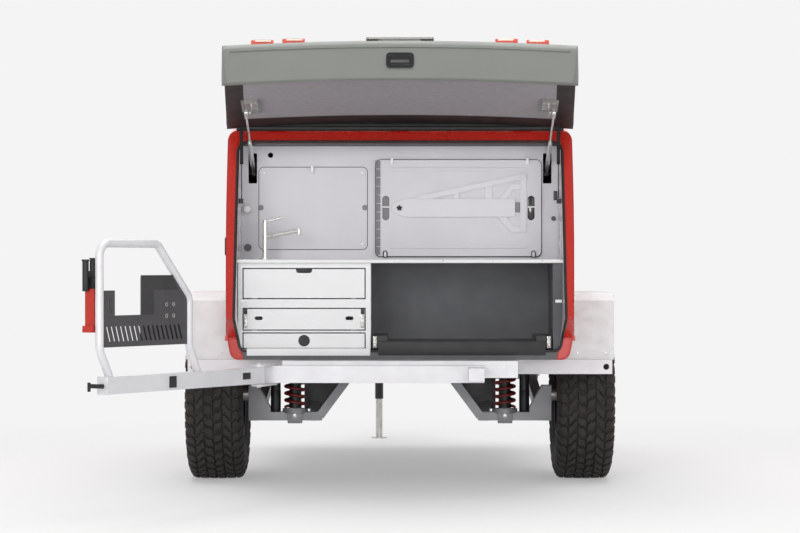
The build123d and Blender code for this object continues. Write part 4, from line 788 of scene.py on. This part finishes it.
def table_fittings():
    """Hooks, hinge strip and hand slots of the stowed table, and the access panel's pulls."""
    hooks = Kit()
    for x in TABLE_HOOKS:
        hooks.ring((x - 11, x + 11), (1070.0, 1104.0), TABLE_Y - 2, TABLE_Y - 6, 4, 10.5)
    hooks.done("table_hooks", "trailer", "black_plastic")
    pulls = Kit()
    for x in ACCESS_PULLS:
        pulls.disc((x, ACCESS_Y, 1303.0), "y", 13, -1.2, 0.4, 28)
    pulls.done("access_pulls", "trailer", "galley_silver", SLOT_GREY)
    strip = Kit()
    for index in range(LEAVES):
        low = LEAF_LOW + index * LEAF_PITCH
        strip.box((-109.0, -91.0), (TABLE_Y - 3, TABLE_Y), (low, low + LEAF_LONG), 1)
        strip.disc((-109.0, TABLE_Y - 2, low), "z", 5, LEAF_LONG, 0.8, 12)
    strip.done("table_hinge_strip", "trailer", "galley_silver", SLOT_GREY)
    bars = Kit()
    for x in HAND_SLOTS:
        bars.box((x - 17, x + 17), (TABLE_Y + 1, TABLE_Y + 6), (1303.0, 1309.0), 0.6)
    bars.done("table_slot_bars", "trailer", "galley_silver", KNOB_WHITE)
    # Backs behind the hand slots, grey on the left and gloss black on the right: painted shade in the slots'
    # depth
    for side, x, made in zip(SIDES, HAND_SLOTS, (SLOT_GREY, GLOSS_BLACK)):
        back = Kit()
        back.box((x - 20, x + 20), (BULKHEAD_Y - 8, BULKHEAD_Y - 0.3), (1242.0, 1360.0), 1)
        back.done(f"table_slot_back_{side}", "trailer", "black_plastic", made)


def galley_fasteners():
    """Screws of the counter and of the access panel, and the round knob beside it."""
    screws = Kit()
    for x in COUNTER_SCREWS:
        screws.disc((x, 20.0, 1056.0), "y", 4, -1.6, 0.4, 12)
    for x, h in ACCESS_SCREWS:
        screws.disc((x, ACCESS_Y, h), "y", 5, -2, 0.6, 12)
    screws.done("galley_screws", "trailer", "zinc")
    knob = Kit()
    knob.disc((-708.0, BULKHEAD_Y - 17, 1296.0), "y", 19, -16, 4, 28, 17)
    knob.done("galley_knob", "trailer", "fitting_grey", KNOB_WHITE)


def folded_arm():
    """The stowed table's folded arm, with its hinge and its knob."""
    folded = Kit()
    folded.plate(FOLDED_BLADE, FOLDED_Y, TABLE_Y)
    # Each member stands a little behind the one before it, so that no two faces lie in one plane
    for place, corners in enumerate(FOLDED_MEMBERS):
        folded.plate(corners, FOLDED_Y + 2 + place * MEMBER_STEP, TABLE_Y)
    x, h = FOLDED_PIVOT
    folded.disc((x, FOLDED_Y, h), "y", 15, 12, 1.5, 28)
    folded.disc((x, FOLDED_Y, h), "y", 7, -2, 0.8, 20)
    # The folded arm takes the lighter grey: painted light against the panel
    piece = folded.done("table_arm_folded", "trailer", "galley_silver", FOLDED_LIT_GREY)
    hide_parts("table_arm")
    hinge = Kit()
    hinge.box((535.0, 557.0), (FOLDED_Y + 2, TABLE_Y), (1281.0, 1327.0), 1.5)
    hinge.done("table_arm_hinge", "trailer", "galley_silver", SLOT_GREY)
    star = Kit()
    x, h = FOLDED_KNOB
    for index in range(KNOB_LOBES):
        turn = tau * index / KNOB_LOBES
        star.disc((x + LOBE_CIRCLE * sin(turn), FOLDED_Y, h + LOBE_CIRCLE * cos(turn)), "y", 5, -5, 1, 12)
    star.disc((x, FOLDED_Y, h), "y", 7, -7, 1.2, 16)
    star.done("table_arm_knob", "trailer", "black_plastic")


def slide_latch(kit, x, low, high, face_y):
    """A zinc slide latch: back plate, bolt in two guides and a turned knob."""
    middle = (low + high) / 2
    kit.box((x - 8, x + 8), (face_y - 2.5, face_y), (low, high), 1)
    kit.disc((x, face_y - 6, low + 2), "z", 3.5, high - low - 4, 1, 14)
    for h in (low + 8, high - 18):
        kit.box((x - 6.5, x + 6.5), (face_y - 10.5, face_y - 1), (h, h + 10), 2)
    kit.disc((x, face_y - 8, middle), "y", 4, -11, 1.2, 16)
    for h in (low + 4, high - 4):
        kit.disc((x, face_y - 2, h), "y", 2.2, -2, 0.4, 10)


def drawer_fittings():
    """Slide latches of the lower drawer, and a black disc set inside the bottom drawer's finger hole: painted
    shade for the drawer's dark inside.
    """
    drawer = Kit()
    tops = Kit()
    for x in DRAWER_LATCHES:
        slide_latch(drawer, x, *DRAWER_LATCH_H, FACE_Y - 0.2)
        tops.box((x - 8, x + 8), (FACE_Y - 2, FACE_Y + 1), LATCH_TOP_H, 2)
    drawer.done("drawer_latches", "lower_drawer", "zinc")
    tops.done("drawer_latch_tops", "lower_drawer", "black_plastic")
    # Black disc just behind the finger hole's face: painted shade for the dark inside of the drawer
    hole = Kit()
    x, h = FINGER_HOLE
    hole.disc((x, FACE_Y + 8, h), "y", 25.8, -2, 0.5, 40)
    hole.done("drawer_hole_shade", "bottom_drawer", "black_plastic")


def tray_fittings():
    """Slide latches and skirt of the sliding tray, and the cabinet's kick strip."""
    tray = Kit()
    tray_low, tray_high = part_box("bay_tray")
    left, right = (x / MM for x in (tray_low.x, tray_high.x))
    face = tray_low.y / MM + COUPLER.y
    for x in (left + TRAY_LATCH_IN, right - TRAY_LATCH_IN):
        slide_latch(tray, x, *TRAY_LATCH_H, face - 0.2)
    tray.done("tray_latches", "sliding_tray", "zinc")
    skirt = Kit()
    ends = (left + SKIRT_IN, right - SKIRT_IN)
    skirt.box(ends, (face - 12, face - 7), (630.0, 692.0), 1.5)
    skirt.box(ends, (face - 8, face + 1), (664.0, 692.0), 1.5)
    skirt.done("tray_skirt", "sliding_tray", "black_plastic")
    kick = Kit()
    kick.box(KICK_X, (17.5, 23.0), (628.0, 661.0), 1.0)
    kick.box(KICK_X, (20.0, FACE_Y + 1), (653.0, 659.0), 1.0)
    kick.done("cabinet_kick", "trailer", "galley_silver", LIT_DRAWER_GREY)


# Rear hatch

# Strut brackets: place across and along the chord, and the screws round it; then the plates' own screws
STRUT_X = 672.0
STRUT_S = 330.0
STRUT_SCREWS = ((-33, -36), (-33, 36), (13, -36), (13, 36))
STRUT_PLATE_SCREWS = (636.0, 694.0)
HINGE_COVER_HALF = 748.0
# Crease above the chin: its half-length, the steps along it and its radius
CREASE_HALF = 716
CREASE_STEPS = 8
CREASE_R = 3.5
# Places along the chord: the lamps, the blank plate's frame, its screws and its lamp
LAMP_S = HATCH_CHORD - 48
LAMP_PLACES = (450.0, 582.0)
PLATE_S = (HATCH_CHORD - 181, HATCH_CHORD - 24)
PLATE_SCREW_S = HATCH_CHORD - 100
PLATE_LAMP_S = HATCH_CHORD - 200


def crown_n(x):
    """Rise of the hatch's crown at a place across it."""
    return CROWN_RISE * (1 - (x / BODY_HALF) ** 2)


def outer_n(s, x):
    """Height of the hatch's outer panel above its chord."""
    share = s / HATCH_CHORD
    chord_n = HATCH_TOP_N * (1 - share) + CREASE_N * share
    return chord_n + 4 * HATCH_BULGE * share * (1 - share) + crown_n(x)


def hatch_trim():
    """Screws and plates of the strut brackets, hinge cover, and crease above the chin."""
    screws = Kit(on_hatch)
    for sign in (-1, 1):
        for dx, ds in STRUT_SCREWS:
            screws.disc((sign * (STRUT_X + dx), STRUT_S + ds, -16.0), "z", 5, -3.5, 1, 12)
        for x in STRUT_PLATE_SCREWS:
            screws.disc((sign * x, 243.0, -6.0), "z", 5, -3.5, 1, 12)
    for x in (-110.0, 110.0):
        screws.disc((x, PLATE_SCREW_S, outer_n(PLATE_SCREW_S, 0) + 13), "z", 5.5, 4, 1, 12)
    screws.done("hatch_screws", "hatch", "zinc")
    plates = Kit(on_hatch)
    for sign in (-1, 1):
        plates.box((sign * 624.0, sign * 706.0), (225.0, 372.0), (-6.0, 3.0), 1.5)
    plates.done("strut_plates", "hatch", "arm_grey")
    cover = Kit(on_hatch)
    cover.disc((-HINGE_COVER_HALF, 0.0, 0.0), "x", 14.0, 2 * HINGE_COVER_HALF, 1.0, 28)
    cover.box((-HINGE_COVER_HALF, HINGE_COVER_HALF), (-6.0, 14.0), (6.0, 22.0), 2.0)
    cover.done("hinge_cover", "hatch", "black_plastic")
    places = range(-CREASE_HALF, CREASE_HALF + 1, 2 * CREASE_HALF // CREASE_STEPS)
    crease = [on_hatch(x, HATCH_CHORD + 5.5, CREASE_N - 33 + crown_n(x)) for x in places]
    tube("chin_crease", crease, CREASE_R, "hatch", "hatch_grey")


def hatch_fittings():
    """Pale inserts on the lamps, painted highlights for the glints on their lenses; the blank plate's frame
    and lamp, and the pull strap.
    """
    # A pale insert on each lamp's rear face: painted highlight for the lens's glint
    glints = Kit(on_hatch)
    for sign in (-1, 1):
        for x in LAMP_PLACES:
            ends = (sign * (x - 36), sign * (x + 30))
            top = outer_n(LAMP_S, x)
            glints.box(ends, (LAMP_S + 14.0, LAMP_S + 16.5), (top + 5, top + 14), 1.2)
    glints.done("lamp_glints", "hatch", "lamp_red", LENS_GLINT)
    plate_frame = Kit(lambda x, n, s: on_hatch(x, s, n + outer_n(s, 0)))
    plate_frame.ring((-144.0, 144.0), PLATE_S, 8.0, 17.0, 9, 16)
    plate_frame.done("plate_frame", "hatch", "zinc")
    lamp = Kit(on_hatch)
    top = outer_n(PLATE_LAMP_S, 0)
    lamp.box((-40.0, 40.0), (PLATE_LAMP_S - 12, PLATE_LAMP_S + 14), (top - 2, top + 24), 6, 3)
    lamp.done("plate_lamp", "hatch", "black_plastic")
    strap = Kit(on_hatch)
    strap.box((-7.0, 7.0), (940.0, 944.0), (-62.0, -6.0), 1)
    strap.box((-9.0, 9.0), (936.0, 948.0), (-92.0, -60.0), 3)
    strap.done("pull_strap", "hatch", "webbing")


def limit_straps():
    """Webbing from the hatch, with a thin cable to each wall's anchor."""
    for side, sign in SIDES.items():
        kit = Kit()
        x = sign * (INNER_HALF - 13.5)
        low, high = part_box("limit_straps")
        foot, top = (z / MM + COUPLER.z for z in (low.z, high.z))
        kit.box((x - 7.5, x + 7.5), (133.4, 136.6), (1494.0, top), 0.6)
        kit.box((x - 8.0, x + 8.0), (132.4, 137.6), (1494.0, 1512.0), 0.8)
        kit.disc((x, 135.0, foot), "z", 2.0, 1498.0 - foot, 0, 10)
        piece = kit.done(f"limit_strap_{side}", "trailer", "webbing")
        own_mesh(piece)
        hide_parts("limit_straps")


# Swing arm, fenders and suspension

# Pads on the arm: place along it, half-length, and heights
ARM_PADS = ((136.0, 30.0, 539.0, 568.0), (691.0, 26.0, 526.0, 574.0))
# The lifting jack's handle and tube: places along the arm and across it; and corners of its lever
JACK_HANDLE = (1156.0, -39.0)
JACK_TUBE = (1190.0, -50.0)
JACK_LEVER = ((1150.0, 944.0), (1162.0, 944.0), (1150.0, 1012.0), (1128.0, 1012.0))
# The arm's plate, as places along the arm and heights: folded rim round its bay, bolts and ringed holes
FOLD_CORNERS = (
    (881.0, 833.0), (881.0, 978.0), (868.0, 993.0), (668.0, 993.0),
    (625.0, 935.0), (797.0, 935.0), (797.0, 833.0),
)
PLATE_BOLTS = ((560.0, 720.0), (560.0, 880.0), (1150.0, 720.0), (1150.0, 910.0))
PLATE_RINGS = ((655.0, 825.0), (655.0, 872.0), (705.0, 825.0), (705.0, 872.0))
# Fenders' screws: places across on the rear face, and along the outer lip from the axle
FENDER_FACE_SCREWS = (832.0, 962.0)
FENDER_LIP_SCREWS = (-450.0, -250.0, -50.0, 150.0, 330.0)
# Suspension: places across of spring and shock, corners of gusset and web across and up, and pivot bolts
SPRING_X = 510.0
SHOCK_X = 605.0
GUSSET = ((690.0, 452.0), (690.0, 322.0), (628.0, 322.0), (628.0, 342.0))
WEB = ((470.0, 330.0), (470.0, 482.0), (275.0, 482.0), (385.0, 330.0))
# Each pivot bolt's place across and the way its head points
PIVOT_BOLTS = ((420.0, -1), (700.0, 1))


def arm_trim():
    """Caps, pads and latch plate of the arm, the jack's clamp and lever, and the plate's fold and bolts."""
    silver = Kit(on_arm)
    silver.disc((0.0, 0.0, 586.0), "z", 30, 3, 1, 32)
    silver.box((1140.0, 1146.0), (-27.0, 27.0), (514.0, 588.0), 2)
    silver.box((1060.0, 1128.0), (-30.0, -25.0), (524.0, 578.0), 3)
    silver.done("arm_caps", "swing_arm", "frame_silver", ARM_SILVER)
    dark = Kit(on_arm)
    for u, half, low, high in ARM_PADS:
        dark.box((u - half, u + half), (-27.0, -25.0), (low, high), 1.5)
        dark.box((u - half, u + half), (25.0, 27.0), (low, high), 1.5)
    dark.box((1118.0, 1134.0), (-66.0, -12.0), (905.0, 945.0), 4)
    dark.box((1100.0, 1108.0), (-64.0, -52.0), (940.0, 1010.0), 3)
    dark.disc((*JACK_HANDLE, 1058.0), "z", 15, 6, 2, 20)
    dark.disc((*JACK_HANDLE, 984.0), "z", 13, 72, 2, 20)
    dark.disc((*JACK_TUBE, 930.0), "z", 13, 126, 2, 20)
    dark.disc((*JACK_TUBE, 1050.0), "z", 15.5, 8, 2, 20)
    dark.plate(JACK_LEVER, -66.0, -54.0)
    dark.box((1229.0, 1238.0), (-6.0, 6.0), (531.0, 568.0), 2)
    dark.box((566.0, 876.0), (-9.0, -6.0), (706.0, 800.0), 0.8)
    dark.done("arm_pads", "swing_arm", "black_plastic")
    # The folded rim round the bay takes the darker grey: painted shade in the fold
    folds = Kit(on_arm)
    folds.plate(FOLD_CORNERS, 2.4, 5.0)
    folds.done("arm_plate_fold", "swing_arm", "plate_dark", FOLD_SHADE)
    bolts = Kit(on_arm)
    for u, h in PLATE_BOLTS:
        bolts.disc((u, -3.0, h), "y", 7, -5, 1, 6)
    for u, h in PLATE_RINGS:
        bolts.ring((u - 9, u + 9), (h - 9, h + 9), 2.4, 4.5, 3.5, 9)
    bolts.done("arm_bolts", "swing_arm", "zinc")


def fender_trim():
    """Screws along the fenders' lips and rear faces."""
    screws = Kit()
    for sign in SIDES.values():
        for x in FENDER_FACE_SCREWS:
            screws.disc((sign * x, AXLE_Y - 510, 624.0), "y", 6, -3, 1, 12)
        for along in FENDER_LIP_SCREWS:
            screws.disc((sign * 1000.0, AXLE_Y + along, 892.0), "x", 6, sign * 3, 1, 12)
    screws.done("fender_screws", "trailer", "zinc")


def suspension_trim():
    """Boss plates, gussets, pivot bolts, bump stops, shock covers and webs, and the tongue jack's sleeve."""
    plates, bolts, dark = Kit(), Kit(), Kit()
    face_y = AXLE_Y - 44
    for sign in SIDES.values():
        plates.plate([(sign * x, h) for x, h in GUSSET], AXLE_Y - 40, AXLE_Y + 40)
        dark.plate([(sign * x, h) for x, h in WEB], AXLE_Y + 120, AXLE_Y + 126)
        spring_x = sign * SPRING_X
        dark.disc((spring_x, AXLE_Y, 336.0), "z", 32, 186, 6, 28, 26)
        dark.disc((sign * SHOCK_X, AXLE_Y, 322.0), "z", 25, 108, 3, 28)
        plates.box((spring_x - 36, spring_x + 36), (face_y, face_y + 9), (268.0, 344.0), 4)
        plates.disc((spring_x, face_y, 306.0), "y", 24, -3, 1, 28)
        bolts.disc((spring_x, face_y - 3, 306.0), "y", 11, -8, 2, 6)
        for x, way in PIVOT_BOLTS:
            bolts.disc((sign * x, AXLE_Y + 550, 490.0), "x", 16, sign * way * 9, 2, 6)
    dark.disc((-125.0, 3860.0, 236.0), "z", 24.5, 96, 2, 32)
    dark.done("suspension_black", "trailer", "frame_black")
    plates.done("spring_boss_plates", "trailer", "arm_grey")
    bolts.done("suspension_bolts", "trailer", "zinc")


# Stage, in metres in the frame

CAMERA_PLACE = (0.0, -15.8, 0.4795)
CAMERA_LENS = 115.1
CAMERA_SENSOR = 36.0
CAMERA_REACH = 2000.0
# Floor: half-width, where it starts and bends up, the bend's radius and steps, the backdrop's height
FLOOR_HALF = 600.0
FLOOR_NEAR = -600.0
FLOOR_FAR = 22.0
FLOOR_BEND = 10.0
BEND_STEPS = 20
BACKDROP_HIGH = 40.0
# Level of the floor's paint, display level of its glow, and the glow's share beside the trailer
FLOOR_LEVEL = 0.84
GLOW_LEVEL = 244
FLOOR_GLOW = 0.35
# Middle of the shadow, and the distances from it between which the glow takes over
SHADOW_MIDDLE_Y = -3.4
SHADOW_REACH = (2.2, 5.5)
WORLD_LEVEL = 0.55
# Lamps: name, place and aim in the frame, size in metres, power in watts
LAMPS = (
    ("key", (-4.0, -15.6, 3.2), (0.0, -3.8, 0.5), 6.0, 415.0),
    ("fill", (5.0, -14.0, 3.0), (0.0, -3.5, 0.3), 6.0, 140.0),
    ("low", (0.5, -17.0, 0.6), (0.0, -4.0, 0.2), 2.0, 160.0),
    ("top", (0.0, -4.0, 7.5), (0.0, -4.0, 0.0), 8.0, 430.0),
    ("front", (0.0, 10.0, 6.0), (0.0, -1.0, 0.3), 12.0, 240.0),
)


def floor_paint():
    """Matt white, with a glow that takes over away from the trailer, where no shadow falls."""
    made = Surface("floor")
    made.shader.inputs["Base Color"].default_value = (FLOOR_LEVEL, FLOOR_LEVEL, FLOOR_LEVEL, 1)
    made.shader.inputs["Roughness"].default_value = 1.0
    made.shader.inputs["Specular IOR Level"].default_value = 0.0
    glow = made.add("ShaderNodeEmission", Color=srgb(GLOW_LEVEL, GLOW_LEVEL, GLOW_LEVEL))
    # What the camera sees, mirrored surfaces and glass show as well
    path = made.add("ShaderNodeLightPath")
    seen = path.outputs["Is Camera Ray"]
    for ray in ("Is Glossy Ray", "Is Transmission Ray"):
        seen = made.sums("MAXIMUM", seen, path.outputs[ray])
    spot = made.add("ShaderNodeNewGeometry")
    away = made.add("ShaderNodeVectorMath", {0: spot.outputs["Position"]}, operation="DISTANCE")
    away.inputs[1].default_value = (0.0, SHADOW_MIDDLE_Y, GROUND_Z)
    near, far = SHADOW_REACH
    rise = made.add("ShaderNodeMapRange", {0: away.outputs["Value"]}, interpolation_type="SMOOTHSTEP",
                    From_Min=near, From_Max=far, To_Min=FLOOR_GLOW, To_Max=1.0)
    share = made.sums("MULTIPLY", seen, rise.outputs[0])
    mixed = made.add("ShaderNodeMixShader", {0: share, 1: made.shader.outputs[0], 2: glow.outputs[0]})
    made.tree.links.new(mixed.outputs[0], made.tree.nodes["Material Output"].inputs[0])
    return made.material


def lay_floor():
    """Pale floor that runs up into a backdrop."""
    turns = [pi * step / (2 * BEND_STEPS) for step in range(1, BEND_STEPS + 1)]
    profile = [(FLOOR_NEAR, 0.0), (FLOOR_FAR, 0.0)]
    profile += [(FLOOR_FAR + FLOOR_BEND * sin(turn), FLOOR_BEND * (1 - cos(turn))) for turn in turns]
    profile.append((FLOOR_FAR + FLOOR_BEND, BACKDROP_HIGH))
    points = [(x, y, GROUND_Z + z) for y, z in profile for x in (-FLOOR_HALF, FLOOR_HALF)]
    faces = [(2 * i, 2 * i + 1, 2 * i + 3, 2 * i + 2) for i in range(len(profile) - 1)]
    mesh = bpy.data.meshes.new("floor")
    mesh.from_pydata(points, [], faces)
    mesh.shade_smooth()
    mesh.materials.append(floor_paint())
    floor = stand("floor", mesh)


def hang_lamps():
    """Soft round lamps, and an even light from all sides."""
    for name, place, aim, size, power in LAMPS:
        light = bpy.data.lights.new(name, "AREA")
        light.shape = "DISK"
        light.size = size
        light.energy = power
        lamp = stand(name, light)
        lamp.location = place
        lamp.rotation_euler = (Vector(aim) - Vector(place)).to_track_quat("-Z", "Y").to_euler()
    world = bpy.data.worlds.new("sky")
    bpy.context.scene.world = world
    world.use_nodes = True
    sky = world.node_tree.nodes["Background"]
    sky.inputs["Color"].default_value = (1, 1, 1, 1)
    sky.inputs["Strength"].default_value = WORLD_LEVEL


def set_camera():
    """The photograph's camera, level and square to the rear."""
    lens_data = bpy.data.cameras.new("camera")
    lens_data.lens = CAMERA_LENS
    lens_data.sensor_width = CAMERA_SENSOR
    lens_data.clip_end = CAMERA_REACH
    camera = stand("camera", lens_data)
    camera.location = CAMERA_PLACE
    camera.rotation_euler = (pi / 2, 0, 0)
    bpy.context.scene.camera = camera
    bpy.context.scene.view_settings.view_transform = "Standard"


dress_nodes()
for side_name in SIDES:
    tyre(side_name)
    wheel_trim(side_name)
    door_trim(side_name)
gasket()
roof_trim()
galley_panels()
table_fittings()
galley_fasteners()
folded_arm()
drawer_fittings()
tray_fittings()
hatch_trim()
hatch_fittings()
limit_straps()
arm_trim()
fender_trim()
suspension_trim()
lay_floor()
hang_lamps()
set_camera()
